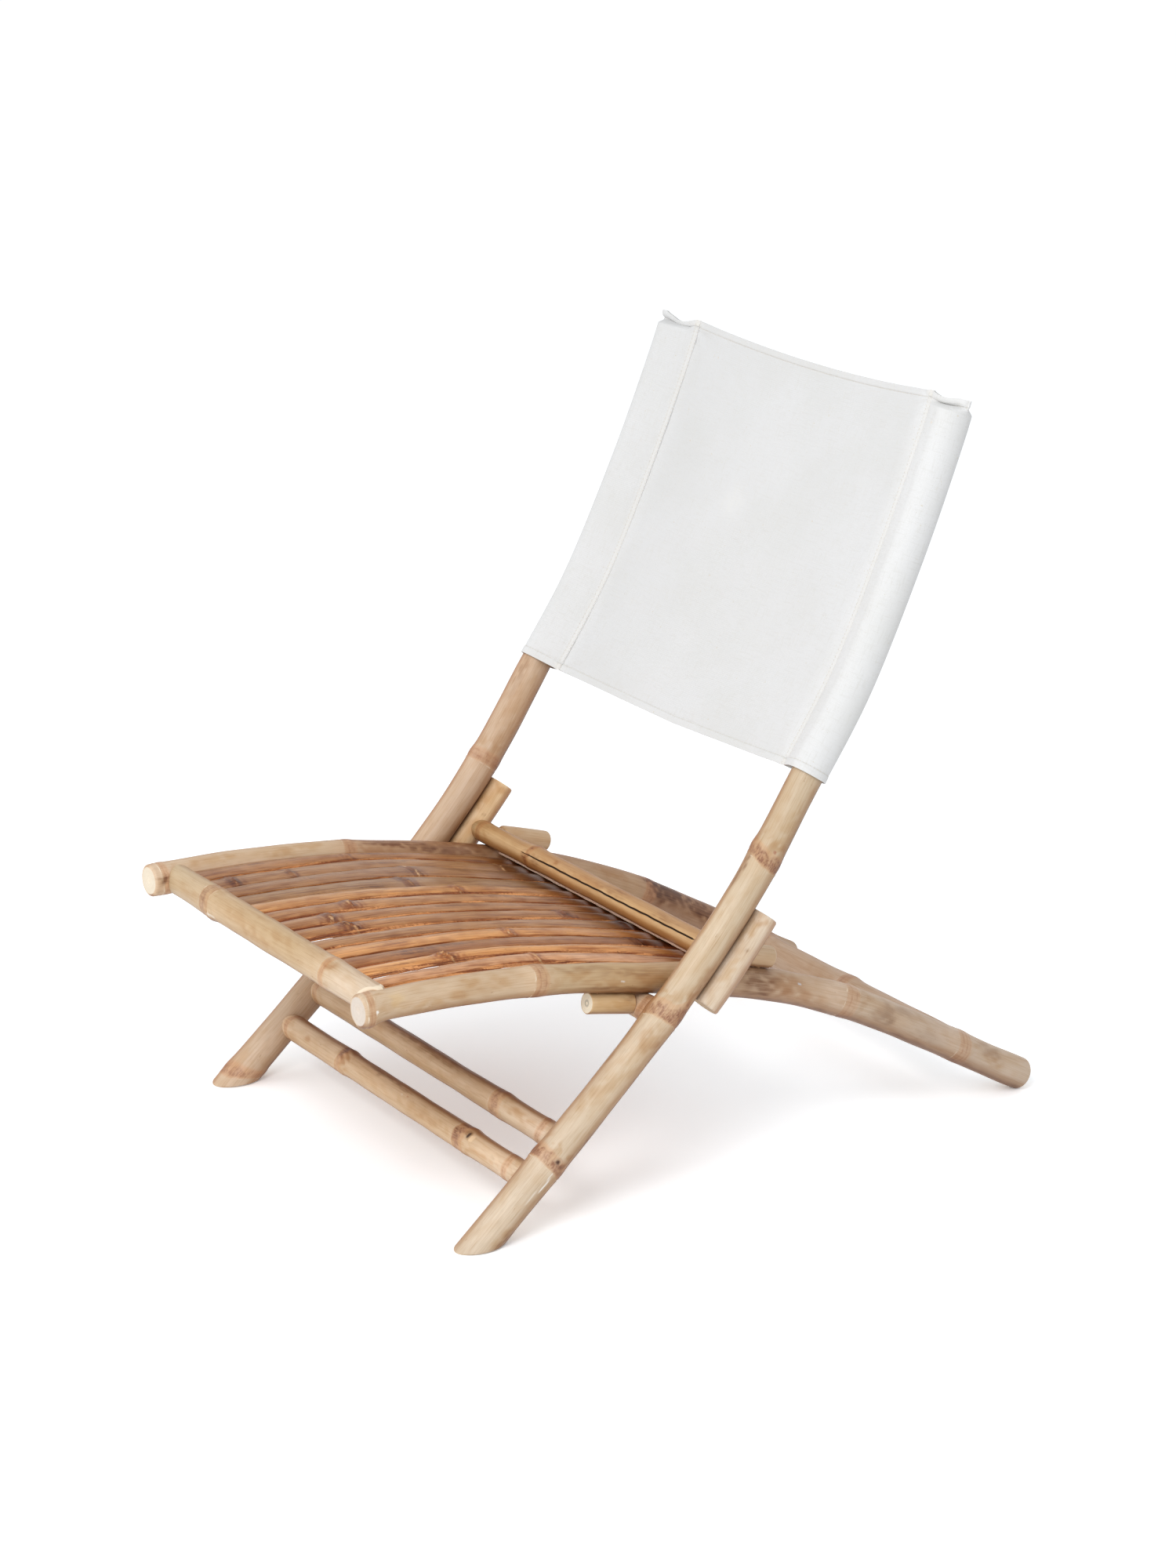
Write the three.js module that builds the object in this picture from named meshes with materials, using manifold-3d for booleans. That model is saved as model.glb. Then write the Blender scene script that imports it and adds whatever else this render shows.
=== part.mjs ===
// Bamboo folding recliner: a back frame and a seat frame of solid culms, locked by two bars and four stops.
// Y runs from the front of the seat to the back, Z up from the floor. Lengths are in millimetres.
import * as THREE from 'three';
import { mergeVertices } from 'three/addons/utils/BufferGeometryUtils.js';
import Module from 'manifold-3d';

const wasm = await Module();
wasm.setup();

// Fits and overruns shared by every joint
const clearance = 0.3;
const cutOverrun = 30;
const weldDistance = 0.001;
const culmSides = 18;
const bendStep = 90;

// Surface of a culm: the swelling at each node, and the eased rim of a sawn end
const nodeSwell = 0.9;
const nodeHalfWidth = 6;
const rimEase = 1.2;

// Back poles: side route, which starts below the floor, and how far the sling draws the tops together
const poleHalfSpacing = 260;
const poleStartFromFront = 100.3;
const poleStartBelowFloor = 15.7;
const poleRun = 604;
const poleRise = 833;
const poleLean = 4;
const poleFootRadius = 19.4;
const poleTopRadius = 16.4;
const poleTopBelowRoute = 15;
const poleRouteShares = [
  [0, 0], [0.2573, 0.1679], [0.4522, 0.3058], [0.5812, 0.4179], [0.6821, 0.5291],
  [0.7927, 0.6526], [0.893, 0.8035], [0.9783, 0.9543], [1, 1],
];
const poleNodeShares = {
  right: [0.157, 0.344, 0.531, 0.718, 0.902],
  left: [0.092, 0.288, 0.485, 0.68, 0.873],
};

// Seat rails: side route from the front end to the rear end on the floor
const railRun = 862;
const railFrontHeight = 273;
const railRadius = 17.75;
const railSideGap = 1.4;
const railRouteShares = [
  [0, 1], [0.108, 0.9919], [0.2497, 0.9531], [0.4077, 0.8617], [0.5835, 0.7142],
  [0.7082, 0.5576], [0.8377, 0.3389], [0.9499, 0.1344], [1, 0.0474],
];
const railNodeShares = {
  right: [0.012, 0.236, 0.437, 0.694, 0.902],
  left: [0.014, 0.27, 0.498, 0.721, 0.945],
};

// Cross bars
const lockBarRadius = 14;
const lockBarNodeShares = [0.23, 0.71];
const supportBarRadius = 14;
const supportBarNodeShares = [0.34, 0.955];
const stretcherRadius = 14;
const lowerStretcherUpPole = 109;
const stretcherSpacing = 51;
const lowerStretcherNodeShares = [0.21, 0.775, 0.965];
const upperStretcherNodeShares = [0.02, 0.4, 0.775, 0.95];
const frontBarRadius = 16.5;
const frontBarAlongRail = 25.6;
const frontBarNodeShares = [0.13, 0.81];
const rearBarRadius = 17.5;
const rearBarFromRailEnd = 118;
const rearBarNodeShares = [0.17, 0.57];

// Spacer blocks that hold the lock bar behind the poles
const blockRadius = 17.4;
const blockLength = 111;
const blockPegFromMiddle = 37;

// Stops on the rails, one behind the lock bar and one in front of the support bar
const stopGap = 1;
const topStopRadius = 12;
const topStopLength = 63;
const bottomStopRadius = 11.5;
const bottomStopLength = 56;
const stopPegFromMiddle = 17;
const stopPegRadius = 3;

// Round pegs in the joints
const pegRadius = 4;
const pegInBar = 34;
const pegInCarrier = 8;
const pegSides = 8;

// Seat: split-culm slats, the strip over their rear ends and the battens under them
const slatCount = 13;
const slatGap = 2;
const slatSideGap = 2;
const slatThickness = 4;
const slatCrown = 2.5;
const slatTopAboveRail = 11;
const slatGrooveDepth = 8;
const slatRearAlongRail = 486;
const coverWidth = 32;
const coverThickness = 4.5;
const coverCrown = 1.5;
const coverInRail = 10;
const battenRadius = 6;
const battenInRail = 9;
const middleBattenAlongRail = 240;
const rearBattenFromSlatEnd = 16;

// Canvas sling: a sagging panel between two sleeves that are closed over the pole tops
const clothThickness = 1.6;
const slingUpPole = 612;
const seamFromPole = 39.7;
const slingSagBottom = 13;
const slingSagTop = 10;
const slingDroopBottom = 6;
const slingDroopTop = 9;
const sleeveEase = 0.7;
const sleeveArcSteps = 8;
const panelSteps = 8;
const slingStations = 10;
const sleeveTopHalfThickness = 2.6;
const sleeveTopFlare = 3;
const sleeveClosingRise = 5;

const bamboo = { color: 0xcfae84, roughness: 0.55, metalness: 0 };
const splitBamboo = { color: 0xb98253, roughness: 0.5, metalness: 0 };
const pegWood = { color: 0xb88f5f, roughness: 0.6, metalness: 0 };
const canvas = { color: 0xebebe9, roughness: 0.9, metalness: 0 };

const acrossAxis = new THREE.Vector3(1, 0, 0);
const signOf = { right: 1, left: -1 };
const sides = Object.keys(signOf);

// Routes are smooth curves that are measured by distance from their start.
function makeRoute(points) {
  const curve = new THREE.CatmullRomCurve3(points);
  return { curve, length: curve.getLength() };
}

// The frame at a distance along a route: along it, across the chair, and up from the route's upper side.
// Before its start and past its end a route runs on straight.
function frameAt(route, distance) {
  const inside = THREE.MathUtils.clamp(distance, 0, route.length);
  const point = route.curve.getPointAt(inside / route.length);
  const along = route.curve.getTangentAt(inside / route.length);
  point.addScaledVector(along, distance - inside);
  const up = new THREE.Vector3().crossVectors(acrossAxis, along).normalize();
  const across = new THREE.Vector3().crossVectors(along, up);
  return { point, along, across, up };
}

// Moves a geometry that was built along +Y from zero onto a route: x goes across and z goes up.
function bendOnto(geometry, route, start) {
  const places = geometry.attributes.position;
  const place = new THREE.Vector3();
  for (let i = 0; i < places.count; i += 1) {
    place.fromBufferAttribute(places, i);
    const frame = frameAt(route, start + place.y);
    const moved = frame.point.addScaledVector(frame.across, place.x).addScaledVector(frame.up, place.z);
    places.setXYZ(i, moved.x, moved.y, moved.z);
  }
  return geometry;
}

// Turns and moves a geometry that was built along +Y from zero so that it starts at one point towards another.
function layBetween(geometry, from, to) {
  const direction = new THREE.Vector3().subVectors(to, from).normalize();
  const turn = new THREE.Quaternion().setFromUnitVectors(new THREE.Vector3(0, 1, 0), direction);
  return geometry.applyQuaternion(turn).translate(from.x, from.y, from.z);
}

// A culm along +Y: it tapers evenly and swells at each node, and its sawn rims are eased.
function makeCulm(length, startRadius, endRadius, nodeShares = []) {
  const radiusAt = (distance) => THREE.MathUtils.lerp(startRadius, endRadius, distance / length);
  const stations = [[0, -rimEase], [rimEase, 0], [length - rimEase, 0], [length, -rimEase]];
  for (const share of nodeShares) {
    const middle = share * length;
    stations.push([middle - nodeHalfWidth, 0], [middle, nodeSwell], [middle + nodeHalfWidth, 0]);
  }
  const bends = Math.ceil(length / bendStep);
  for (let i = 1; i < bends; i += 1) {
    const middle = (length * i) / bends;
    const crowded = stations.some(([distance]) => Math.abs(distance - middle) < nodeHalfWidth);
    if (!crowded) stations.push([middle, 0]);
  }
  stations.sort((a, b) => a[0] - b[0]);
  const profile = stations.map(([distance, swell]) => new THREE.Vector2(radiusAt(distance) + swell, distance));
  profile.unshift(new THREE.Vector2(0, 0));
  profile.push(new THREE.Vector2(0, length));
  return new THREE.LatheGeometry(profile, culmSides);
}

// A closed geometry becomes a solid that can be joined and cut.
function toSolid(geometry) {
  const bare = geometry.clone();
  bare.deleteAttribute('normal');
  bare.deleteAttribute('uv');
  const merged = mergeVertices(bare, weldDistance);
  const corners = merged.index.array;
  const triangles = [];
  for (let i = 0; i < corners.length; i += 3) {
    const [a, b, c] = [corners[i], corners[i + 1], corners[i + 2]];
    if (a !== b && b !== c && c !== a) triangles.push(a, b, c);
  }
  return new wasm.Manifold(new wasm.Mesh({
    numProp: 3,
    vertProperties: new Float32Array(merged.attributes.position.array),
    triVerts: new Uint32Array(triangles),
  }));
}

function cut(solid, tools) {
  return tools.reduce((rest, tool) => rest.subtract(tool), solid);
}

const frames = { back: new THREE.Group(), seat: new THREE.Group() };

function addPiece(frame, name, solid, finish) {
  const mesh = solid.getMesh();
  const geometry = new THREE.BufferGeometry();
  geometry.setAttribute('position', new THREE.BufferAttribute(mesh.vertProperties, 3));
  geometry.setIndex(new THREE.BufferAttribute(mesh.triVerts, 1));
  geometry.computeVertexNormals();
  const piece = new THREE.Mesh(geometry, new THREE.MeshStandardMaterial(finish));
  piece.name = name;
  frames[frame].add(piece);
}

// Routes of the poles and rails. The rails stand inside the poles by a side gap past both nodes' swelling.
function polePoints(halfSpacing, lean) {
  return poleRouteShares.map(([run, rise]) => new THREE.Vector3(
    halfSpacing - lean * rise * rise,
    poleStartFromFront + run * poleRun,
    rise * poleRise - poleStartBelowFloor,
  ));
}

const poleRoute = {
  middle: makeRoute(polePoints(0, 0)),
  right: makeRoute(polePoints(poleHalfSpacing, poleLean)),
  left: makeRoute(polePoints(-poleHalfSpacing, -poleLean)),
};
const poleLength = poleRoute.middle.length - poleTopBelowRoute;

function poleRadiusAt(distance) {
  return THREE.MathUtils.lerp(poleFootRadius, poleTopRadius, distance / poleLength);
}

function railPoints(halfSpacing) {
  return railRouteShares.map(([run, rise]) => new THREE.Vector3(
    halfSpacing,
    run * railRun,
    rise * railFrontHeight,
  ));
}

const railMiddleRoute = makeRoute(railPoints(0));

// Distance from a point to a route, and where along the route it is nearest, in the side view.
function nearestOnRoute(route, point) {
  let low = 0;
  let high = route.length;
  const gapAt = (distance) => frameAt(route, distance).point.distanceTo(point);
  while (high - low > weldDistance) {
    const third = (high - low) / 3;
    if (gapAt(low + third) < gapAt(high - third)) high -= third;
    else low += third;
  }
  return { distance: low, gap: gapAt(low) };
}

// The first distance along the pole, going up or down from the crossing, at which a bar clears the rails.
function clearOfRails(pointAt, from, barRadius, direction) {
  const wanted = railRadius + barRadius + clearance;
  let near = from;
  let far = from + direction * (wanted + railRadius) * 3;
  while (Math.abs(far - near) > weldDistance) {
    const middle = (near + far) / 2;
    if (nearestOnRoute(railMiddleRoute, pointAt(middle)).gap < wanted) near = middle;
    else far = middle;
  }
  return far;
}

function findCrossing() {
  let low = 0;
  let high = poleRoute.middle.length;
  while (high - low > weldDistance) {
    const middle = (low + high) / 2;
    const point = frameAt(poleRoute.middle, middle).point;
    const nearest = nearestOnRoute(railMiddleRoute, point);
    const above = point.z > frameAt(railMiddleRoute, nearest.distance).point.z;
    if (above) high = middle;
    else low = middle;
  }
  return low;
}

const crossing = findCrossing();
const crossingPoleRadius = poleRadiusAt(crossing);
const railHalfSpacing = poleHalfSpacing - crossingPoleRadius - nodeSwell - railSideGap - railRadius;
const railRoute = {
  right: makeRoute(railPoints(railHalfSpacing)),
  left: makeRoute(railPoints(-railHalfSpacing)),
};

// The blocks lie against the backs of the poles, and the lock bar runs between the middles of the blocks.
const blockBehindPole = crossingPoleRadius + clearance + blockRadius;

function behindPole(distance) {
  const frame = frameAt(poleRoute.middle, distance);
  return frame.point.addScaledVector(frame.up, -blockBehindPole);
}

const supportBarUpPole = clearOfRails(
  (distance) => frameAt(poleRoute.middle, distance).point, crossing, supportBarRadius, -1,
);
const lockBarUpPole = clearOfRails(behindPole, crossing - blockBehindPole, lockBarRadius, 1);
const supportBarMiddle = frameAt(poleRoute.middle, supportBarUpPole).point;
const lockBarMiddle = behindPole(lockBarUpPole);

// Bars across the chair, from left to right, which fit round what carries them
function barAcross(middle, halfLength, radius, nodeShares = []) {
  const from = new THREE.Vector3(-halfLength, middle.y, middle.z);
  const to = new THREE.Vector3(halfLength, middle.y, middle.z);
  return toSolid(layBetween(makeCulm(2 * halfLength, radius, radius, nodeShares), from, to));
}

function pegSolid(from, to, radius) {
  const length = from.distanceTo(to);
  const peg = new THREE.CylinderGeometry(radius, radius, length, pegSides).translate(0, length / 2, 0);
  return toSolid(layBetween(peg, from, to));
}

// A peg across the chair, from inside its carrier into the end of a bar
function barPeg(side, middle, carrierX, barEndX, extra = 0) {
  const from = new THREE.Vector3(signOf[side] * (carrierX + pegInCarrier + extra), middle.y, middle.z);
  const to = new THREE.Vector3(signOf[side] * (barEndX - pegInBar - extra), middle.y, middle.z);
  return pegSolid(from, to, pegRadius + extra);
}

// Pegs that run up from a route, such as those in the blocks and the stops
function uprightPeg(route, distance, low, high, radius, extra = 0) {
  const frame = frameAt(route, distance);
  const from = frame.point.clone().addScaledVector(frame.up, low - extra);
  const to = frame.point.clone().addScaledVector(frame.up, high + extra);
  return pegSolid(from, to, radius + extra);
}

function poleSolid(side, extra) {
  const culm = makeCulm(
    poleLength + cutOverrun, poleFootRadius + extra, poleTopRadius + extra, poleNodeShares[side],
  );
  return toSolid(bendOnto(culm, poleRoute[side], -cutOverrun));
}

function railSolid(side, extra) {
  const route = railRoute[side];
  const culm = makeCulm(route.length, railRadius + extra, railRadius + extra, railNodeShares[side]);
  return toSolid(bendOnto(culm, route, 0));
}

function blockSolid(side, extra) {
  const culm = makeCulm(blockLength, blockRadius + extra, blockRadius + extra);
  culm.translate(0, 0, -blockBehindPole);
  return toSolid(bendOnto(culm, poleRoute[side], lockBarUpPole - blockLength / 2));
}

// Everything below the floor, which the feet are sawn off against
const floorCut = toSolid(new THREE.BoxGeometry(
  2 * (poleHalfSpacing + cutOverrun),
  2 * (railRun + cutOverrun),
  2 * cutOverrun,
).translate(0, 0, -cutOverrun));

// Where each cross bar of the back frame runs, and where its pegs sit
const lowerStretcherMiddle = frameAt(poleRoute.middle, lowerStretcherUpPole).point;
const upperStretcherMiddle = frameAt(poleRoute.middle, lowerStretcherUpPole + stretcherSpacing).point;
const poleBars = {
  lower_support_bar: { middle: supportBarMiddle, radius: supportBarRadius, nodes: supportBarNodeShares },
  lower_leg_stretcher: {
    middle: lowerStretcherMiddle, radius: stretcherRadius, nodes: lowerStretcherNodeShares,
  },
  upper_leg_stretcher: {
    middle: upperStretcherMiddle, radius: stretcherRadius, nodes: upperStretcherNodeShares,
  },
};
const poleInnerFace = poleHalfSpacing - poleFootRadius;
const blockInnerFace = poleHalfSpacing - blockRadius;
const railInnerFace = railHalfSpacing - railRadius;

function addPoleBars() {
  const sleeves = sides.map((side) => poleSolid(side, clearance));
  for (const [name, bar] of Object.entries(poleBars)) {
    const holes = sides.map((side) => barPeg(side, bar.middle, poleInnerFace, poleInnerFace, clearance));
    const whole = barAcross(bar.middle, poleHalfSpacing, bar.radius, bar.nodes);
    addPiece('back', name, cut(whole, [...sleeves, ...holes]), bamboo);
    for (const side of sides) {
      addPiece('back', `${name}_peg_${side}`, barPeg(side, bar.middle, poleInnerFace, poleInnerFace), pegWood);
    }
  }
}

function addLockBar() {
  const blocks = sides.map((side) => blockSolid(side, clearance));
  const holes = sides.map((side) => barPeg(side, lockBarMiddle, blockInnerFace, blockInnerFace, clearance));
  const whole = barAcross(lockBarMiddle, poleHalfSpacing, lockBarRadius, lockBarNodeShares);
  addPiece('back', 'upper_lock_bar', cut(whole, [...blocks, ...holes]), bamboo);
  for (const side of sides) {
    const peg = barPeg(side, lockBarMiddle, blockInnerFace, blockInnerFace);
    addPiece('back', `upper_lock_bar_peg_${side}`, peg, pegWood);
  }
}

function blockPegs(side, extra) {
  return [-blockPegFromMiddle, blockPegFromMiddle].map((offset) => uprightPeg(
    poleRoute[side], lockBarUpPole + offset, -blockBehindPole - pegInCarrier, pegInCarrier, pegRadius, extra,
  ));
}

function addPoleAndBlock(side) {
  const barHoles = Object.values(poleBars).map(
    (bar) => barPeg(side, bar.middle, poleInnerFace, poleInnerFace, clearance),
  );
  const blockHoles = blockPegs(side, clearance);
  const lockHole = barPeg(side, lockBarMiddle, blockInnerFace, blockInnerFace, clearance);
  const pole = cut(poleSolid(side, 0), [floorCut, ...barHoles, ...blockHoles]);
  addPiece('back', `back_pole_${side}`, pole, bamboo);
  addPiece('back', `spacer_block_${side}`, cut(blockSolid(side, 0), [lockHole, ...blockHoles]), bamboo);
  blockPegs(side, 0).forEach((peg, i) => {
    addPiece('back', `spacer_block_peg_${side}_${i + 1}`, peg, pegWood);
  });
}

// The stops lie along the rails: where each starts, and how far its centre is above the rail's
const topStopAbove = railRadius + clearance + topStopRadius;
const bottomStopAbove = -railRadius - clearance - bottomStopRadius;
const topStopStart = nearestOnRoute(railMiddleRoute, lockBarMiddle).distance + lockBarRadius + stopGap;
const bottomStopEnd = nearestOnRoute(railMiddleRoute, supportBarMiddle).distance - supportBarRadius - stopGap;
const stops = {
  top_stop: { start: topStopStart, length: topStopLength, radius: topStopRadius, above: topStopAbove },
  bottom_stop: {
    start: bottomStopEnd - bottomStopLength,
    length: bottomStopLength,
    radius: bottomStopRadius,
    above: bottomStopAbove,
  },
};

function stopPegs(side, stop, extra) {
  const low = Math.min(stop.above, 0);
  const high = Math.max(stop.above, 0);
  return [-stopPegFromMiddle, stopPegFromMiddle].map((offset) => uprightPeg(
    railRoute[side], stop.start + stop.length / 2 + offset, low, high, stopPegRadius, extra,
  ));
}

// Each stop lies on the rail, hollowed where the rail swells.
function addStops(side) {
  const seat = railSolid(side, clearance);
  for (const [name, stop] of Object.entries(stops)) {
    const culm = makeCulm(stop.length, stop.radius, stop.radius).translate(0, 0, stop.above);
    const body = toSolid(bendOnto(culm, railRoute[side], stop.start));
    addPiece('seat', `${name}_${side}`, cut(body, [seat, ...stopPegs(side, stop, clearance)]), bamboo);
    stopPegs(side, stop, 0).forEach((peg, i) => {
      addPiece('seat', `${name}_peg_${side}_${i + 1}`, peg, pegWood);
    });
  }
}

// A strip with a crowned top and a hollow underside, as split bamboo has
function stripShape(width, thickness, crown, base) {
  const steps = 4;
  const heightAt = (x) => base + crown * (1 - (2 * x / width) ** 2);
  const across = Array.from({ length: steps + 1 }, (_, i) => width * (i / steps - 1 / 2));
  const under = across.map((x) => new THREE.Vector2(x, heightAt(x)));
  const over = across.map((x) => new THREE.Vector2(x, heightAt(x) + thickness)).reverse();
  return new THREE.Shape([...under, ...over]);
}

const slatAreaHalfWidth = railInnerFace - slatSideGap;
const slatPitch = (2 * slatAreaHalfWidth + slatGap) / slatCount;
const slatBase = slatTopAboveRail - slatCrown - slatThickness;
const slatFrontAlongRail = frontBarAlongRail + frontBarRadius - slatGrooveDepth + clearance;

function addSlats() {
  const length = slatRearAlongRail - slatFrontAlongRail;
  const shape = stripShape(slatPitch - slatGap, slatThickness, slatCrown, slatBase);
  const steps = Math.ceil(length / bendStep) + 1;
  for (let i = 0; i < slatCount; i += 1) {
    const strip = new THREE.ExtrudeGeometry(shape, { depth: length, steps, bevelEnabled: false });
    strip.rotateX(Math.PI / 2).translate((i - (slatCount - 1) / 2) * slatPitch, length, 0);
    const name = `seat_slat_${String(i + 1).padStart(2, '0')}`;
    addPiece('seat', name, toSolid(bendOnto(strip, railMiddleRoute, slatFrontAlongRail)), splitBamboo);
  }
}

// A shape that runs across the chair, drawn along the rail and up from it
function extrudeAcross(shape, alongRail, halfWidth) {
  const frame = frameAt(railMiddleRoute, alongRail);
  const body = new THREE.ExtrudeGeometry(shape, { depth: 2 * halfWidth, steps: 1, bevelEnabled: false });
  const placed = new THREE.Matrix4().makeBasis(frame.along, frame.up, acrossAxis).setPosition(frame.point);
  return toSolid(body.translate(0, 0, -halfWidth).applyMatrix4(placed));
}

function coverStrip(extra) {
  const base = slatTopAboveRail + clearance - extra;
  const shape = stripShape(coverWidth + 2 * extra, coverThickness + 2 * extra, coverCrown, base);
  return extrudeAcross(shape, slatRearAlongRail - coverWidth / 2, railInnerFace + coverInRail + extra);
}

const battenAbove = slatBase - clearance - battenRadius;
const battenPlaces = {
  middle: middleBattenAlongRail,
  rear: slatRearAlongRail - rearBattenFromSlatEnd,
};

function batten(name, extra) {
  const frame = frameAt(railMiddleRoute, battenPlaces[name]);
  const middle = frame.point.addScaledVector(frame.up, battenAbove);
  return barAcross(middle, railInnerFace + battenInRail + extra, battenRadius + extra);
}

// The groove along the back of the front bar takes the front ends of the slats.
function slatGroove() {
  const low = slatBase - clearance;
  const high = slatTopAboveRail + clearance;
  const near = frontBarRadius - slatGrooveDepth;
  const far = frontBarRadius + cutOverrun;
  const outline = new THREE.Shape([
    new THREE.Vector2(near, low),
    new THREE.Vector2(far, low),
    new THREE.Vector2(far, high),
    new THREE.Vector2(near, high),
  ]);
  return extrudeAcross(outline, frontBarAlongRail, slatAreaHalfWidth + clearance);
}

const frontBarMiddle = frameAt(railMiddleRoute, frontBarAlongRail).point;
const rearBarMiddle = frameAt(railMiddleRoute, railMiddleRoute.length - rearBarFromRailEnd).point;
const railBars = {
  front_bar: { middle: frontBarMiddle, radius: frontBarRadius, nodes: frontBarNodeShares, cuts: [slatGroove()] },
  rear_bar: { middle: rearBarMiddle, radius: rearBarRadius, nodes: rearBarNodeShares, cuts: [] },
};

function addRailBars() {
  const sleeves = sides.map((side) => railSolid(side, clearance));
  for (const [name, bar] of Object.entries(railBars)) {
    const holes = sides.map((side) => barPeg(side, bar.middle, railInnerFace, railInnerFace, clearance));
    const whole = barAcross(bar.middle, railHalfSpacing, bar.radius, bar.nodes);
    addPiece('seat', name, cut(whole, [...bar.cuts, ...sleeves, ...holes]), bamboo);
    for (const side of sides) {
      addPiece('seat', `${name}_peg_${side}`, barPeg(side, bar.middle, railInnerFace, railInnerFace), pegWood);
    }
  }
}

function addRail(side) {
  const barHoles = Object.values(railBars).map(
    (bar) => barPeg(side, bar.middle, railInnerFace, railInnerFace, clearance),
  );
  const stopHoles = Object.values(stops).flatMap((stop) => stopPegs(side, stop, clearance));
  const battenHoles = Object.keys(battenPlaces).map((name) => batten(name, clearance));
  const tools = [floorCut, coverStrip(clearance), ...barHoles, ...stopHoles, ...battenHoles];
  addPiece('seat', `seat_rail_${side}`, cut(railSolid(side, 0), tools), bamboo);
}

function addSeat() {
  sides.forEach(addRail);
  sides.forEach(addStops);
  addRailBars();
  addSlats();
  addPiece('seat', 'slat_cover_strip', coverStrip(0), splitBamboo);
  for (const name of Object.keys(battenPlaces)) {
    addPiece('seat', `slat_batten_${name}`, batten(name, 0), bamboo);
  }
}

// The sling's section at one distance up the pole: x across the chair, y up from the pole's front side.
// A sleeve is a drop shape: a round part over the pole that narrows to the seam beside it.
function sleeveArc(poleX, halfWidth, halfDepth, side) {
  const open = Math.acos(halfWidth / seamFromPole);
  const points = [];
  for (let i = 0; i <= sleeveArcSteps; i += 1) {
    const angle = (Math.PI - open) * (1 - 2 * i / sleeveArcSteps);
    points.push([side * (poleX + halfWidth * Math.cos(angle)), halfDepth * Math.sin(angle)]);
  }
  return points;
}

// The panel sags back between the seams, and droops down along the poles by the third number.
function panelLine(seamX, sag, droop, offset) {
  return Array.from({ length: panelSteps + 1 }, (_, i) => {
    const share = 2 * i / panelSteps - 1;
    const fullness = 1 - share * share;
    return [share * seamX, offset - sag * fullness, droop * fullness];
  });
}

function slingSection(distance, halfDepth, halfWidth) {
  const poleX = frameAt(poleRoute.right, distance).point.x;
  const share = (distance - slingUpPole) / (poleRoute.middle.length - slingUpPole);
  const sag = THREE.MathUtils.lerp(slingSagBottom, slingSagTop, share);
  const droop = THREE.MathUtils.lerp(slingDroopBottom, slingDroopTop, share);
  const seamX = poleX - seamFromPole;
  return [
    ...panelLine(seamX, sag, droop, clothThickness / 2),
    ...sleeveArc(poleX, halfWidth, halfDepth, 1),
    ...panelLine(seamX, sag, droop, -clothThickness / 2).reverse(),
    ...sleeveArc(poleX, halfWidth, halfDepth, -1).reverse(),
  ];
}

// Inside radius of a sleeve, wide enough for its flats to clear the pole's nodes
function pocketRadiusAt(distance) {
  const tight = poleRadiusAt(Math.min(distance, poleLength)) + nodeSwell + sleeveEase;
  return tight / Math.cos(Math.PI / (2 * sleeveArcSteps));
}

function pocketSection(distance, side) {
  const poleX = frameAt(poleRoute.right, distance).point.x;
  const radius = pocketRadiusAt(distance);
  const seam = [side * (poleX - seamFromPole + 3 * clothThickness), 0];
  const loop = [seam, ...sleeveArc(poleX, radius, radius, side)];
  return side > 0 ? loop : loop.reverse();
}

// Joins section loops that have the same number of points into the side walls of a body.
function wallTriangles(loops, firstIndex) {
  const count = loops[0].length;
  const triangles = [];
  for (let k = 0; k + 1 < loops.length; k += 1) {
    for (let i = 0; i < count; i += 1) {
      const a = firstIndex + k * count + i;
      const b = firstIndex + k * count + ((i + 1) % count);
      triangles.push(a, b, a + count, b, b + count, a + count);
    }
  }
  return triangles;
}

function placedLoop(section, distance) {
  const frame = frameAt(poleRoute.middle, distance);
  return section.map(([x, y, droop = 0]) => (
    frame.point.clone().addScaledVector(frame.up, y).addScaledVector(frame.along, -droop).setX(x)
  ));
}

// A closed body through section loops: side walls, and a flat cap at each end
function loftSolid(sections, distances) {
  const loops = sections.map((section, i) => placedLoop(section, distances[i]));
  const count = sections[0].length;
  const last = (loops.length - 1) * count;
  const triangles = wallTriangles(loops, 0);
  const capOf = (section) => THREE.ShapeUtils.triangulateShape(
    section.map(([x, y]) => new THREE.Vector2(x, y)), [],
  );
  for (const [a, b, c] of capOf(sections[0])) triangles.push(a, b, c);
  for (const [a, b, c] of capOf(sections[sections.length - 1])) triangles.push(last + a, last + c, last + b);
  const geometry = new THREE.BufferGeometry().setFromPoints(loops.flat());
  geometry.setIndex(triangles);
  return toSolid(geometry);
}

function addSling() {
  const pocketTop = poleLength + clearance;
  const distances = Array.from(
    { length: slingStations },
    (_, i) => THREE.MathUtils.lerp(slingUpPole, pocketTop, i / (slingStations - 1)),
  );
  const sleeveRadius = (distance) => pocketRadiusAt(distance) + clothThickness;
  const sections = distances.map(
    (distance) => slingSection(distance, sleeveRadius(distance), sleeveRadius(distance)),
  );
  const tipRadius = sleeveRadius(poleLength);
  const closings = [
    { distance: pocketTop + sleeveClosingRise, depth: tipRadius, width: tipRadius },
    { distance: poleRoute.middle.length, depth: sleeveTopHalfThickness, width: tipRadius + sleeveTopFlare },
  ];
  for (const closing of closings) {
    sections.push(slingSection(closing.distance, closing.depth, closing.width));
  }
  const allDistances = [...distances, ...closings.map((closing) => closing.distance)];
  const body = loftSolid(sections, allDistances);
  const pocketDistances = [slingUpPole - cutOverrun, ...distances];
  const pockets = sides.map((side) => loftSolid(
    pocketDistances.map((distance) => pocketSection(distance, signOf[side])), pocketDistances,
  ));
  addPiece('back', 'back_sling', cut(body, pockets), canvas);
}

sides.forEach(addPoleAndBlock);
addLockBar();
addPoleBars();
addSling();
addSeat();

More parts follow.
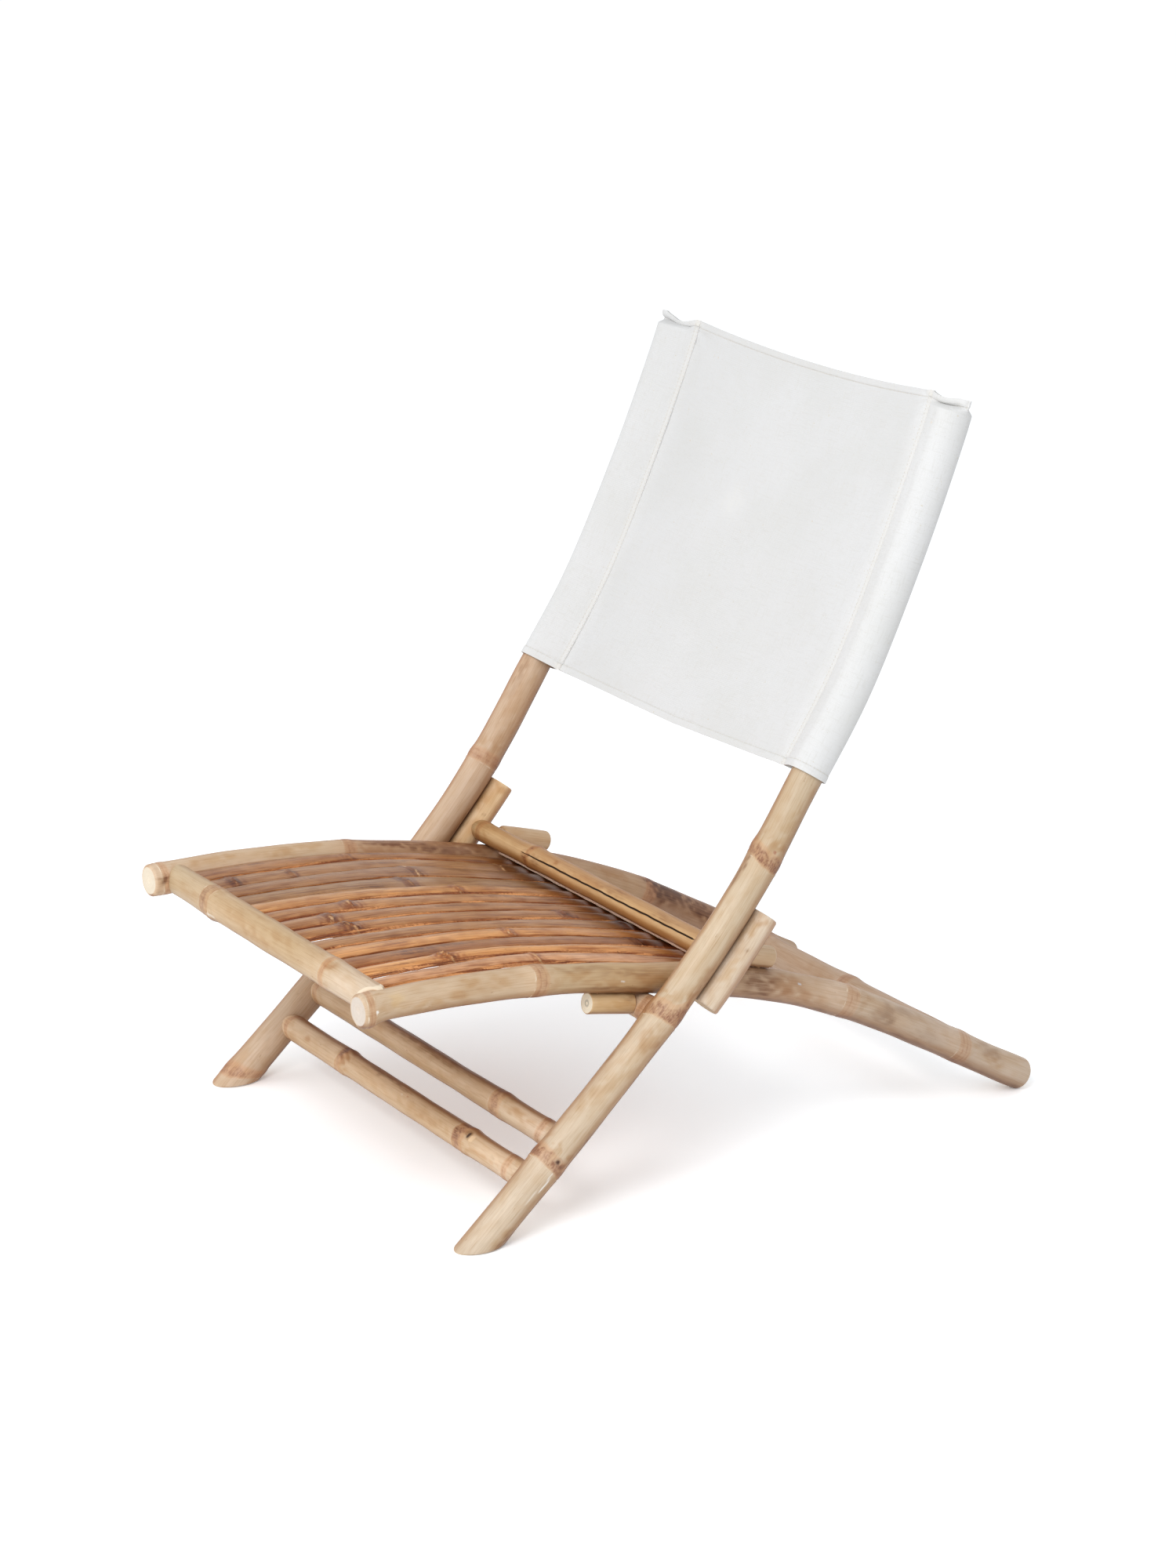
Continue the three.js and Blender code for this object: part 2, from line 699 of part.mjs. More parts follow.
// The origin is on the floor, in the middle of the chair's box.
const group = new THREE.Group();
group.add(frames.back, frames.seat);
const box = new THREE.Box3().setFromObject(group);
group.position.y = -(box.min.y + box.max.y) / 2;

export default group;
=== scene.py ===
import bpy
import numpy as np
from mathutils import Matrix, Vector


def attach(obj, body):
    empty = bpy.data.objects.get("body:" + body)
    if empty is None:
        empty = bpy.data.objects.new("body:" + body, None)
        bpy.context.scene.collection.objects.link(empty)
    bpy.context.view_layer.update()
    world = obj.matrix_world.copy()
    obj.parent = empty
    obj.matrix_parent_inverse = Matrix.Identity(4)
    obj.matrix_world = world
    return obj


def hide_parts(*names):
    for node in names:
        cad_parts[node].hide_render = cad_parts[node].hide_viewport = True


# A folding recliner of bamboo culms with a slatted seat and a canvas sling back.
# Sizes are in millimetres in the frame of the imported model, and meshes are made in metres.
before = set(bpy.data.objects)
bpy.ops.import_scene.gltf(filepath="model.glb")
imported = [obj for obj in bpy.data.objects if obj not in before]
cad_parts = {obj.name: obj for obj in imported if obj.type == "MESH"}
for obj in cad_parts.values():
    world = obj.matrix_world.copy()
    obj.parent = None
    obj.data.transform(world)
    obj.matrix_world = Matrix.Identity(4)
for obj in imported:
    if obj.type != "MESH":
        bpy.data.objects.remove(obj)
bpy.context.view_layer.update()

MM = 0.001


# Small numeric helpers
def ease(x):
    x = np.clip(x, 0, 1)
    return x * x * (3 - 2 * x)


def hump(x, half):
    return np.exp(-((x / half) ** 2))


def linear(rgb):
    c = np.asarray(rgb, float) / 255
    return np.where(c <= 0.04045, c / 12.92, ((c + 0.055) / 1.055) ** 2.4)


def waves(seed, x, lengths, size):
    """A smooth random line along x: one sine for each wavelength."""
    rng = np.random.default_rng(seed)
    out = np.zeros_like(x, float)
    for length in lengths:
        out = out + rng.uniform(0.5, 1) * np.sin(2 * np.pi * (x / length + rng.uniform()))
    return size * out / len(lengths) ** 0.5


def ring_waves(seed, theta, counts, size):
    """The same round a culm, so that it closes on itself."""
    rng = np.random.default_rng(seed)
    out = np.zeros_like(theta, float)
    for count in counts:
        out = out + rng.uniform(0.5, 1) * np.sin(count * theta + rng.uniform(0, 2 * np.pi)) / count**0.45
    return size * out / len(counts) ** 0.5


def mottle(seed, s, theta, lengths=(110, 74, 47, 31, 22), counts=(1, 2, 3, 4, 5, 7)):
    """A cloudy pattern over a culm's skin, mostly between -1 and 1."""
    rng = np.random.default_rng(seed)
    out = np.zeros_like(s, float)
    for _ in range(18):
        turns = rng.choice(counts) * rng.choice((-1, 1))
        length = rng.choice(lengths) * rng.uniform(0.8, 1.25)
        out = out + np.sin(turns * theta + 2 * np.pi * (s / length + rng.uniform()))
    return out / 3


def wrapped(degrees):
    """An angle brought between -180 and 180."""
    return (degrees + 180) % 360 - 180


def lay(mark, colour, share, above=None):
    """Lays a coloured mark where its share is above a value, or above that of the mark already there."""
    least = mark[..., 3:4] if above is None else above
    mark[..., :3] = np.where(share[..., None] > least, linear(colour), mark[..., :3])
    mark[..., 3] = np.maximum(mark[..., 3], share)


def stain(share, tint):
    """What a colour is multiplied by where a share of a tint lies on it."""
    return 1 + share[..., None] * (np.asarray(tint) - 1)


# Routes: points with the direction along, across and up at any distance
def catmull(points, per=60):
    """Points along a smooth curve through the given ones."""
    p = np.asarray(points, float)
    e = np.vstack([2 * p[0] - p[1], p, 2 * p[-1] - p[-2]])
    out = []
    for i in range(len(p) - 1):
        a, b, c, d = e[i : i + 4]
        ab, bc, cd = (np.sum((v - u) ** 2) ** 0.25 for u, v in ((a, b), (b, c), (c, d)))
        t1 = ((b - a) / ab - (c - a) / (ab + bc) + (c - b) / bc) * bc
        t2 = ((c - b) / bc - (d - b) / (bc + cd) + (d - c) / cd) * bc
        t = np.linspace(0, 1, per, endpoint=False)[:, None]
        out.append(b + t1 * t + (-3 * b + 3 * c - 2 * t1 - t2) * t**2 + (2 * b - 2 * c + t1 + t2) * t**3)
    return np.vstack([*out, p[-1:]])


class Route:
    """A smooth curve in the plane of a pole or rail. Its distance runs from the first point."""

    def __init__(self, points):
        self.line = catmull(points)
        steps = np.linalg.norm(np.diff(self.line, axis=0), axis=1)
        self.run = np.concatenate([[0], np.cumsum(steps)])
        self.length = self.run[-1]
        turn = np.gradient(self.line, self.run, axis=0)
        self.turn = turn / np.linalg.norm(turn, axis=1)[:, None]

    def at(self, distance):
        d = np.asarray(distance, float)
        c = np.clip(d, 0, self.length)
        p = np.stack([np.interp(c, self.run, self.line[:, k]) for k in range(3)], -1)
        t = np.stack([np.interp(c, self.run, self.turn[:, k]) for k in range(3)], -1)
        t /= np.linalg.norm(t, axis=-1)[..., None]
        p = p + t * (d - c)[..., None]
        up = np.cross([1.0, 0, 0], t)
        up /= np.linalg.norm(up, axis=-1)[..., None]
        return p, t, np.cross(t, up), up


class Bar:
    """A straight route across the chair. Its distance is x."""

    def __init__(self, y, z):
        self.y, self.z = y, z

    def at(self, distance):
        x = np.asarray(distance, float)
        o, i = np.zeros_like(x), np.ones_like(x)
        stack = lambda *v: np.stack(v, -1)
        return stack(x, o + self.y, o + self.z), stack(i, o, o), stack(o, -i, o), stack(o, o, i)


class Beside:
    """A route that runs at a height above another one."""

    def __init__(self, route, above):
        self.route, self.above = route, above

    def at(self, distance):
        p, t, b, up = self.route.at(distance)
        return p + up * self.above, t, b, up


# Poles and rails as shares of their run and rise. SHIFT centres the chair front to back.
SHIFT = -434.791
POLE_START, POLE_RUN, POLE_UNDER, POLE_RISE = 100.3, 604, 15.7, 833
RAIL_RUN, RAIL_RISE = 862, 273
POLE_SHARES = [
    (0, 0), (0.2573, 0.1679), (0.4522, 0.3058), (0.5812, 0.4179), (0.6821, 0.5291),
    (0.7927, 0.6526), (0.893, 0.8035), (0.9783, 0.9543), (1, 1),
]
RAIL_SHARES = [
    (0, 1), (0.108, 0.9919), (0.2497, 0.9531), (0.4077, 0.8617), (0.5835, 0.7142),
    (0.7082, 0.5576), (0.8377, 0.3389), (0.9499, 0.1344), (1, 0.0474),
]
POLE_X, POLE_LEAN, POLE_FOOT, POLE_TOP = 260, 4, 19.4, 16.4
POLE_LENGTH = 1029.516
RAIL_X, RAIL_R = 221.61, 17.75
RAIL_IN = 203.86
GAP = 0.3


def pole_route(side):
    lean = side * POLE_LEAN
    return Route([
        (side * POLE_X - lean * r * r, POLE_START + a * POLE_RUN + SHIFT, r * POLE_RISE - POLE_UNDER)
        for a, r in POLE_SHARES
    ])


def rail_route(x):
    return Route([(x, a * RAIL_RUN + SHIFT, r * RAIL_RISE) for a, r in RAIL_SHARES])


POLE = {s: pole_route(s) for s in (1, -1, 0)}
RAIL = {s: rail_route(s * RAIL_X) for s in (1, -1)}
SEAT = rail_route(0)
# How far up the poles the cross bars lie, where the lock bar is, and the blocks behind the poles
LOCK_UP, SUPPORT_UP, STRETCHERS_UP = 418.73, 326.06, (109.0, 160.0)
LOCK_Y, LOCK_Z = -3.975, 249.16
BLOCK_BEHIND, BLOCK_R, BLOCK_HALF = 36.04, 17.4, 55.5
POLE_BAR_R, LOCK_R, FRONT_BAR_R, REAR_BAR_R, BATTEN_R = 14.0, 14, 16.5, 17.5, 6.0


def pole_radius(s):
    return POLE_FOOT + (POLE_TOP - POLE_FOOT) * np.clip(s, -30, POLE_LENGTH) / POLE_LENGTH


# Meshes from arrays
def build(name, points, quads, tris, layers, material, body, stands_for=(), sharp=40.0):
    """A piece from its points in millimetres, its faces and its named layers of values on the points."""
    p = np.asarray(points, float)
    q, t = np.asarray(quads, int).reshape(-1, 4), np.asarray(tris, int).reshape(-1, 3)
    corners = np.vstack([q[:, [0, 1, 2]], q[:, [0, 2, 3]], t])
    a, b, c = (p[corners[:, k]] for k in range(3))
    if np.sum(a * np.cross(b, c)) < 0:
        q, t = q[:, ::-1], t[:, ::-1]
    mesh = bpy.data.meshes.new(name)
    mesh.vertices.add(len(p))
    mesh.vertices.foreach_set("co", (p * MM).astype(np.float32).ravel())
    loops = np.concatenate([q.ravel(), t.ravel()]).astype(np.int32)
    mesh.loops.add(len(loops))
    mesh.loops.foreach_set("vertex_index", loops)
    starts = np.concatenate([np.arange(len(q)) * 4, 4 * len(q) + np.arange(len(t)) * 3]).astype(np.int32)
    mesh.polygons.add(len(starts))
    mesh.polygons.foreach_set("loop_start", starts)
    mesh.update(calc_edges=True)
    mesh.validate()
    mesh.polygons.foreach_set("use_smooth", np.ones(len(mesh.polygons), bool))
    if sharp:
        mesh.set_sharp_from_angle(angle=np.radians(sharp))
    kinds = {1: ("FLOAT", "value"), 3: ("FLOAT_VECTOR", "vector"), 4: ("FLOAT_COLOR", "color")}
    for label, values in layers.items():
        v = np.asarray(values, np.float32).reshape(len(p), -1)
        kind, field = kinds[v.shape[1]]
        layer = mesh.attributes.new(label, kind, "POINT")
        layer.data.foreach_set(field, v.ravel())
    mesh.materials.append(material)
    piece = bpy.data.objects.new(name, mesh)
    bpy.context.scene.collection.objects.link(piece)
    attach(piece, body)
    if stands_for:
        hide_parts(*stands_for)
    return piece


# Materials
class Nodes:
    """A material, and short ways to add nodes to it."""

    def __init__(self, name):
        self.material = bpy.data.materials.new(name)
        self.material.use_nodes = True
        self.tree = self.material.node_tree
        self.shader = self.tree.nodes["Principled BSDF"]

    def new(self, kind, **settings):
        node = self.tree.nodes.new("ShaderNode" + kind)
        for key, value in settings.items():
            setattr(node, key, value)
        return node

    def put(self, socket, value):
        if isinstance(value, bpy.types.NodeSocket):
            self.tree.links.new(value, socket)
        elif isinstance(value, (tuple, list, np.ndarray)) and socket.type == "RGBA":
            socket.default_value = (*value[:3], 1)
        else:
            socket.default_value = value

    def attribute(self, name, output="Vector"):
        return self.new("Attribute", attribute_name=name).outputs[output]

    def math(self, operation, a, b):
        node = self.new("Math", operation=operation)
        self.put(node.inputs[0], a)
        self.put(node.inputs[1], b)
        return node.outputs[0]

    def product(self, *parts):
        total = parts[0]
        for part in parts[1:]:
            total = self.math("MULTIPLY", total, part)
        return total

    def sum(self, *parts):
        """Patterns added up, each times its weight."""
        total = self.math("MULTIPLY", *parts[0])
        for part in parts[1:]:
            total = self.math("ADD", total, self.math("MULTIPLY", *part))
        return total

    def ragged(self, share, *parts):
        """A share whose edge wanders with patterns, each times its weight."""
        for pattern, weight in parts:
            off = self.math("SUBTRACT", pattern, 0.5)
            share = self.math("ADD", share, self.math("MULTIPLY", off, weight))
        return share

    def scaled(self, vector, scale):
        node = self.new("VectorMath", operation="MULTIPLY")
        self.put(node.inputs[0], vector)
        node.inputs[1].default_value = scale
        return node.outputs[0]

    def noise(self, vector, scale, detail=3.0, roughness=0.5, distortion=0.0):
        node = self.new("TexNoise")
        self.put(node.inputs["Vector"], vector)
        settings = {"Scale": scale, "Detail": detail, "Roughness": roughness, "Distortion": distortion}
        for key, value in settings.items():
            node.inputs[key].default_value = value
        return node.outputs[0]

    def range(self, value, low, high, to_low=0.0, to_high=1.0):
        node = self.new("MapRange", interpolation_type="SMOOTHSTEP")
        settings = {"Value": value, "From Min": low, "From Max": high, "To Min": to_low, "To Max": to_high}
        for key, v in settings.items():
            self.put(node.inputs[key], v)
        return node.outputs[0]

    def mix(self, share, a, b, blend="MIX"):
        node = self.new("Mix", data_type="RGBA", blend_type=blend)
        self.put(node.inputs[0], share)
        self.put(node.inputs[6], a)
        self.put(node.inputs[7], b)
        return node.outputs[2]

    def tinted(self, colour, *rows):
        """A colour under tints. A row has a pattern, where it starts and is full, a share and a tint."""
        for pattern, low, high, share, tint in rows:
            colour = self.mix(self.range(pattern, low, high, 0, share), colour, tint, "MULTIPLY")
        return colour

    def bump(self, height, distance, strength):
        node = self.new("Bump")
        node.inputs["Strength"].default_value = strength
        node.inputs["Distance"].default_value = distance
        self.put(node.inputs["Height"], height)
        return node.outputs[0]

    def finish(self, colour, roughness, normal, **plain):
        self.put(self.shader.inputs["Base Color"], colour)
        self.put(self.shader.inputs["Roughness"], roughness)
        self.put(self.shader.inputs["Normal"], normal)
        for key, value in plain.items():
            self.shader.inputs[key.replace("_", " ")].default_value = value
        return self.material


def bamboo_material():
    """Satin culm skin: long fibres, cloudy mottling, specks, and the marks that the meshes carry."""
    n = Nodes("bamboo_culm")
    place = n.attribute("culm")
    stretched = lambda along, *noise: n.noise(n.scaled(place, (1, 1, along)), *noise)
    fibre, strand = stretched(0.03, 760, 5, 0.65), stretched(0.06, 330, 4, 0.6)
    cloud, broad = stretched(0.12, 105, 4, 0.62, 0.5), stretched(0.30, 36, 3, 0.55, 0.5)
    speck, tuft = stretched(0.3, 420, 2, 0.5), stretched(0.28, 620, 3, 0.6)
    patch = stretched(0.65, 170, 3, 0.6)
    colour = n.mix(1.0, n.attribute("tone", "Color"), (0.90, 0.90, 0.92), "MULTIPLY")
    colour = n.tinted(
        colour,
        (broad, 0.48, 0.68, 0.40, (0.88, 0.76, 0.60)), (cloud, 0.50, 0.70, 0.30, (0.82, 0.69, 0.54)),
        (cloud, 0.48, 0.28, 0.40, (1.10, 1.11, 1.13)), (fibre, 0.42, 0.70, 0.40, (0.74, 0.62, 0.48)),
        (strand, 0.54, 0.72, 0.38, (0.72, 0.58, 0.42)), (strand, 0.44, 0.28, 0.50, (1.10, 1.10, 1.10)),
        (speck, 0.71, 0.79, 0.50, (0.55, 0.38, 0.24)),
    )
    streaks = n.range(n.sum((strand, 0.6), (cloud, 0.4)), 0.38, 0.60, 0.15, 1.0)
    # This layer darkens in streaks: dirt, and painted shade where a part lies in shadow.
    colour = n.mix(n.product(n.attribute("grime", "Fac"), streaks), colour, (0.42, 0.27, 0.17), "MULTIPLY")
    share = n.attribute("mark", "Alpha")
    ragged = n.ragged(share, (strand, 0.8), (fibre, 0.5))
    shown = n.product(n.range(ragged, 0.18, 0.78), n.range(share, 0.02, 0.4), 0.95)
    colour = n.mix(shown, colour, n.attribute("mark", "Color"))
    dense = n.product(n.attribute("fuzz", "Fac"), n.range(patch, 0.34, 0.58, 0.25, 1.0))
    hair = n.product(dense, n.range(tuft, 0.40, 0.58))
    colour = n.mix(n.product(dense, 0.62), colour, (0.66, 0.48, 0.42), "MULTIPLY")
    colour = n.mix(n.product(hair, 0.75), colour, (0.48, 0.34, 0.30), "MULTIPLY")
    colour = n.mix(n.attribute("line", "Fac"), colour, linear((52, 34, 24)))
    rough = n.math("ADD", n.range(cloud, 0.3, 0.7, 0.40, 0.52), n.product(shown, 0.12))
    height = n.sum((fibre, 0.35), (cloud, 0.5), (hair, -0.8))
    return n.finish(colour, rough, n.bump(height, 0.00035, 0.55), Specular_IOR_Level=0.42)


def cut_material():
    """The sawn end of a culm: pale, with fine pores and rings round the pith."""
    n = Nodes("bamboo_cut")
    place = n.attribute("culm")
    pores, cloud = n.noise(place, 900, 3, 0.6), n.noise(place, 120, 3, 0.6)
    colour = n.tinted(
        n.attribute("tone", "Color"),
        (pores, 0.52, 0.70, 0.35, (0.74, 0.62, 0.48)), (cloud, 0.5, 0.75, 0.30, (0.88, 0.78, 0.64)),
    )
    ragged = n.ragged(n.attribute("mark", "Alpha"), (cloud, 0.6))
    colour = n.mix(n.range(ragged, 0.3, 0.7), colour, n.attribute("mark", "Color"))
    rough = n.range(cloud, 0.3, 0.7, 0.62, 0.74)
    return n.finish(colour, rough, n.bump(pores, 0.0003, 0.4), Specular_IOR_Level=0.3)


def peg_material():
    """The pegs' darker wood, with its grain along them."""
    n = Nodes("peg_wood")
    place = n.new("TexCoord").outputs["Object"]
    grain = n.noise(n.scaled(place, (0.15, 1, 1)), 900, 4, 0.6)
    colour = n.mix(n.range(grain, 0.4, 0.7, 0, 0.6), linear((190, 150, 108)), linear((128, 88, 54)))
    rough = n.range(grain, 0.3, 0.7, 0.55, 0.7)
    return n.finish(colour, rough, n.bump(grain, 0.0003, 0.5), Specular_IOR_Level=0.35)


BAMBOO, CUT, PEG = bamboo_material(), cut_material(), peg_material()


# Culms
def around(rows, cols):
    """The numbers of a tube's points, row by row, and its faces."""
    index = np.arange(rows * cols).reshape(rows, cols)
    nxt = np.roll(index, -1, 1)
    return index, np.stack([index[:-1], nxt[:-1], nxt[1:], index[1:]], -1).reshape(-1, 4)


class Culm:
    """A culm along a route: its radius, nodes and ends, and the colours and marks on its skin."""

    PLAIN = {
        "seed": 1, "sides": 72, "nodes": (), "tone": [(0, (205, 177, 147))], "stains": (), "patches": (),
        "marks": (), "cracks": (), "ends": (None, None), "rims": (1.6, 1.6), "caps": ((226, 206, 178),) * 2,
        "piths": (0, 0), "oval": 0.012, "shade_at": (-31, 149), "sink": lambda s: 0 * s,
    }
    # These tints darken a culm's two visible edges: painted shade.
    CLOUDS, SHADES = 0.22, ((0.80, 0.70, 0.62), (0.56, 0.43, 0.35))
    END_REACH, SPACING, LEAST_SPACING = 46.0, 3.2, 0.28
    CAP_SHARES = (0.93, 0.8, 0.62, 0.44, 0.3, 0.2, 0.1)

    def __init__(self, name, route, start, end, radius, body, stands_for, **more):
        self.name, self.route, self.start, self.end = name, route, start, end
        self.radius = radius if callable(radius) else (lambda s: np.full_like(s, radius, dtype=float))
        self.body, self.stands_for = body, stands_for
        for key, value in {**self.PLAIN, **more}.items():
            setattr(self, key, value)

    def stations(self):
        """Distances along the culm: even ones, and close ones at the nodes and the ends."""
        grid = [np.linspace(self.start, self.end, int((self.end - self.start) / self.SPACING) + 2)]
        for node in self.nodes:
            grid.append(np.arange(node["at"] - 22, node["at"] + 26, 1.1))
        for edge, inward in ((self.start, 1), (self.end, -1)):
            grid.append(edge + inward * np.array([0, 0.3, 0.7, 1.2, 1.9, 2.8, 4, 5.5, 7.5, 10]))
        s = np.unique(np.round(np.concatenate(grid), 3))
        s = s[(s >= self.start) & (s <= self.end)]
        keep = [s[0]]
        for value in s[1:]:
            if value - keep[-1] > self.LEAST_SPACING:
                keep.append(value)
        keep[-1] = s[-1]
        return np.array(keep)

    def columns(self):
        """Angles around the culm, with close ones beside a crack."""
        theta = np.linspace(0, 2 * np.pi, self.sides, endpoint=False)
        for crack in self.cracks:
            start, degrees = crack["from"]
            middle, radius = np.radians(degrees), float(self.radius(np.array([start]))[0])
            theta = theta + middle - theta[np.argmin(np.abs(theta - middle))]
            theta = np.concatenate([theta, middle + np.array([-1.1, -0.75, -0.4, 0.4, 0.75, 1.1]) / radius])
        return np.sort(np.mod(theta, 2 * np.pi))

    def make(self):
        """The culm's skin, station by station, and its end faces as one piece."""
        ss, tt = np.meshgrid(self.stations(), self.columns(), indexing="ij")
        for crack in self.cracks:
            tt = self.beside_crack(crack, ss, tt)
        self.ss, self.tt, self.r0 = ss, tt, self.radius(ss)
        rng = np.random.default_rng(self.seed)
        turn = rng.uniform(0, 2 * np.pi) + waves(self.seed + 1, ss, (400, 250), 0.8)
        self.r = self.r0 + waves(self.seed, ss, (260, 140, 75), 0.28)
        self.r = self.r * (1 + self.oval * np.cos(2 * (tt - turn)))
        self.r = self.r + ring_waves(self.seed + 2, tt, (3, 4, 5), 0.10)
        self.mark = np.zeros(ss.shape + (4,))
        self.fuzz, self.line, self.grime = (np.zeros(ss.shape) for _ in range(3))
        self.add_colour()
        for i, node in enumerate(self.nodes):
            self.add_node(node, self.seed * 31 + i * 7, 360 * rng.uniform())
        for mark in self.marks:
            self.add_mark(*mark)
        for crack in self.cracks:
            self.add_crack(crack)
        for edge, rim in zip((self.start, self.end), self.rims):
            inward = np.abs(ss - edge)
            rounding = rim - np.sqrt(np.maximum(rim**2 - (rim - inward) ** 2, 0))
            self.r = self.r - np.where(inward < rim, rounding, 0) * 0.8
        return self.close(self.to_ends())

    def beside_crack(self, crack, ss, tt):
        """Turns the columns so that they run along a crack."""
        (s0, t0), (s1, t1) = crack["from"], crack["to"]
        share = np.clip((ss - s0) / (s1 - s0), 0, 1)
        bend = waves(self.seed + 5, ss, (90, 47, 23), crack["wander"])
        bend = bend * ease(share * 8) * ease((1 - share) * 8)
        return tt + np.radians(t1 - t0) * share + bend / float(self.radius(np.array([s0]))[0])

    def to_ends(self):
        """Distances along the route, drawn to where the culm's ends meet what carries them."""
        run = self.ss + 0.0
        for edge, end in zip((self.start, self.end), self.ends):
            if end is not None:
                target = end(self.tt, self.r0)
                run = run + (target - edge) * ease(1 - np.abs(run - edge) / self.END_REACH)
        return run

    def away(self, degrees):
        """The distance around the skin from a line at some angle."""
        return wrapped(np.degrees(self.tt) - degrees) * np.pi / 180 * self.r0

    def add_colour(self):
        """The skin's own colour, its staining and bands of painted shade, its clouds, painted shade along its
        two edges, and the patches.
        """
        ss, tt = self.ss, self.tt
        at, colours = [a for a, _ in self.tone], linear([c for _, c in self.tone])
        skin = np.stack([np.interp(ss, at, colours[:, k]) for k in range(3)], -1)
        # Bands round the culm: real staining, and at some places painted shade along an edge or beside
        # another part.
        for low, high, centre, half, soft, tint in self.stains:
            along = ease((ss - low) / 30 + 0.5) * ease((high - ss) / 30 + 0.5)
            share = along * ease((half - np.abs(wrapped(np.degrees(tt) - centre))) / soft + 0.5)
            skin = skin * stain(share, tint)
        cloudy = mottle(self.seed + 70, ss, tt)
        skin = skin * stain(self.CLOUDS * ease((cloudy - 0.1) / 1.5), (0.84, 0.70, 0.52))
        skin = skin * stain(self.CLOUDS * ease((-cloudy - 0.3) / 1.4), (1.07, 1.08, 1.10))
        fine = mottle(self.seed + 90, ss, tt, (23, 17, 13), (4, 6, 9, 12))
        # Painted shade along the culm's two edges as seen from the front.
        for centre, tint in zip(self.shade_at, self.SHADES):
            off = np.abs(wrapped(np.degrees(tt) - centre))
            skin = skin * stain(ease(1 - (off - 10 + 3 * cloudy) / 22), tint)
        for at, degrees, length, width, strength, tint in self.patches:
            blob = np.exp(-(((ss - at) / (length / 2)) ** 2) - (self.away(degrees) / (width / 2)) ** 2)
            blob = ease(blob * (1 + 0.28 * fine + 0.2 * cloudy) * 1.15)
            # A patch with a tint stains the skin; one without darkens it in streaks, as dirt or as painted
            # shade.
            if tint:
                skin = skin * stain(strength * blob, tint)
            else:
                self.grime = np.maximum(self.grime, strength * blob)
        self.skin, self.cloudy, self.fine = skin, cloudy, fine

    def paint(self, colour, alpha):
        a, old = np.clip(alpha, 0, 1)[..., None], self.mark[..., 3:4]
        total = a + old * (1 - a)
        mixed = linear(colour) * a + self.mark[..., :3] * old * (1 - a)
        self.mark = np.concatenate([mixed / np.maximum(total, 1e-6), total], -1)

    def add_node(self, node, seed, any_way):
        """A swelling with a ridge, a ragged fringe of its own colour, short dark fibres and pale rings."""
        tt, fine = self.tt, self.fine
        tilt = node["tilt"] * np.cos(tt - np.radians(node.get("tilt_to", any_way)))
        d = self.ss - node["at"] - tilt
        rag, (low, high) = node["rag"], node["band"]
        bottom = -low + ring_waves(seed, tt, (1, 2, 3, 5, 8, 13), rag)
        top = high + ring_waves(seed + 3, tt, (1, 2, 4, 7, 11, 15), rag * 1.2)
        for degrees, half, reach in node["tongues"]:
            top = top + reach * hump(wrapped(np.degrees(tt) - degrees), half)
        side = 1 + node["lopsided"] * np.cos(tt - np.radians(node["bulge"]))
        body = 0.55 * hump(d, np.where(d < 0, 26, 18)) + 0.5 * hump(d - high * 0.4, 4 + high * 0.3)
        self.r = self.r + node["swell"] * side * body
        self.r = self.r + 0.24 * hump(d - bottom + 0.6, 1.2) - 0.16 * hump(d - bottom - 1.4, 1.3)
        inside = ease((d - bottom) / (0.6 * node["soft"]) + 0.5) * ease((top - d) / node["soft"] + 0.5)
        skin = self.skin * stain(inside, node["fringe"])
        before = ease((d + low + 24) / 18) * ease((bottom - d) / 3 + 0.5)
        skin = skin * stain(before * node["pale"], (1.07, 1.08, 1.10))
        after = hump(d - top - 7, 7) * ease((fine + self.cloudy) * 0.8 + 0.3)
        skin = skin * stain(after * node["smear"], (0.84, 0.70, 0.54))
        thick = node["even"] + (1 - node["even"]) * ease(np.cos(tt - np.radians(node["dark"])) * 0.9 + 0.4)
        reach = bottom + (top - bottom) * (0.35 + 0.4 * thick) + 1.6 * fine
        core = ease((d - bottom - 0.3) / 2.6) * ease((reach - d) / 5 + 0.5)
        self.fuzz = np.maximum(self.fuzz, core * thick * node["fuzz"])
        broken = 0.6 + 0.4 * np.clip(fine, -1, 1)
        self.paint(node["lip"], hump(d - bottom + 0.6, 0.7) * node["lip_share"] * broken)
        self.paint(node["lip"], hump(d - top - 0.4, 0.9) * node["lip_share"] * 0.5 * broken)
        for share, depth in node["arcs"]:
            arc = bottom + share * (top - bottom) + ring_waves(seed + 9, tt, (1, 2, 3, 5), rag * 0.4)
            dark = hump(d - arc, 0.9) * depth * (0.7 + 0.3 * np.clip(fine, -1, 1))
            skin = skin * stain(dark, (0.74, 0.56, 0.46))
            self.paint(node["lip"], hump(d - arc - 2.0, 0.8) * depth * 0.5 * broken)
        self.skin = skin

    def add_mark(self, at, degrees, length, width, colour, share):
        away = self.away(degrees) + waves(self.seed + 4000 + int(at), self.ss, (31, 17), width * 0.12)
        oval = ((self.ss - at) / (length / 2)) ** 4 + (away / (width / 2)) ** 4
        self.paint(colour, share * np.exp(-oval))

    def add_crack(self, crack):
        (s0, degrees), (s1, _) = crack["from"], crack["to"]
        columns = (self.columns() - np.radians(degrees) + np.pi) % (2 * np.pi) - np.pi
        opening = ease((self.ss - s0) / crack["open"])
        width = crack["width"] * (0.25 + 0.75 * opening) * ease((s1 - self.ss) / crack["close"])
        inside = ease((s1 - self.ss) / 8) * ease((self.ss - s0) / 8)
        across = np.abs(columns)[None, :] * self.r0
        cut = inside * np.clip(1 - across / np.maximum(width, 0.05), 0, 1) ** 0.7
        self.r = self.r - crack["depth"] * cut
        self.line = np.maximum(self.line, np.clip(cut * 2.2, 0, 1) * inside)

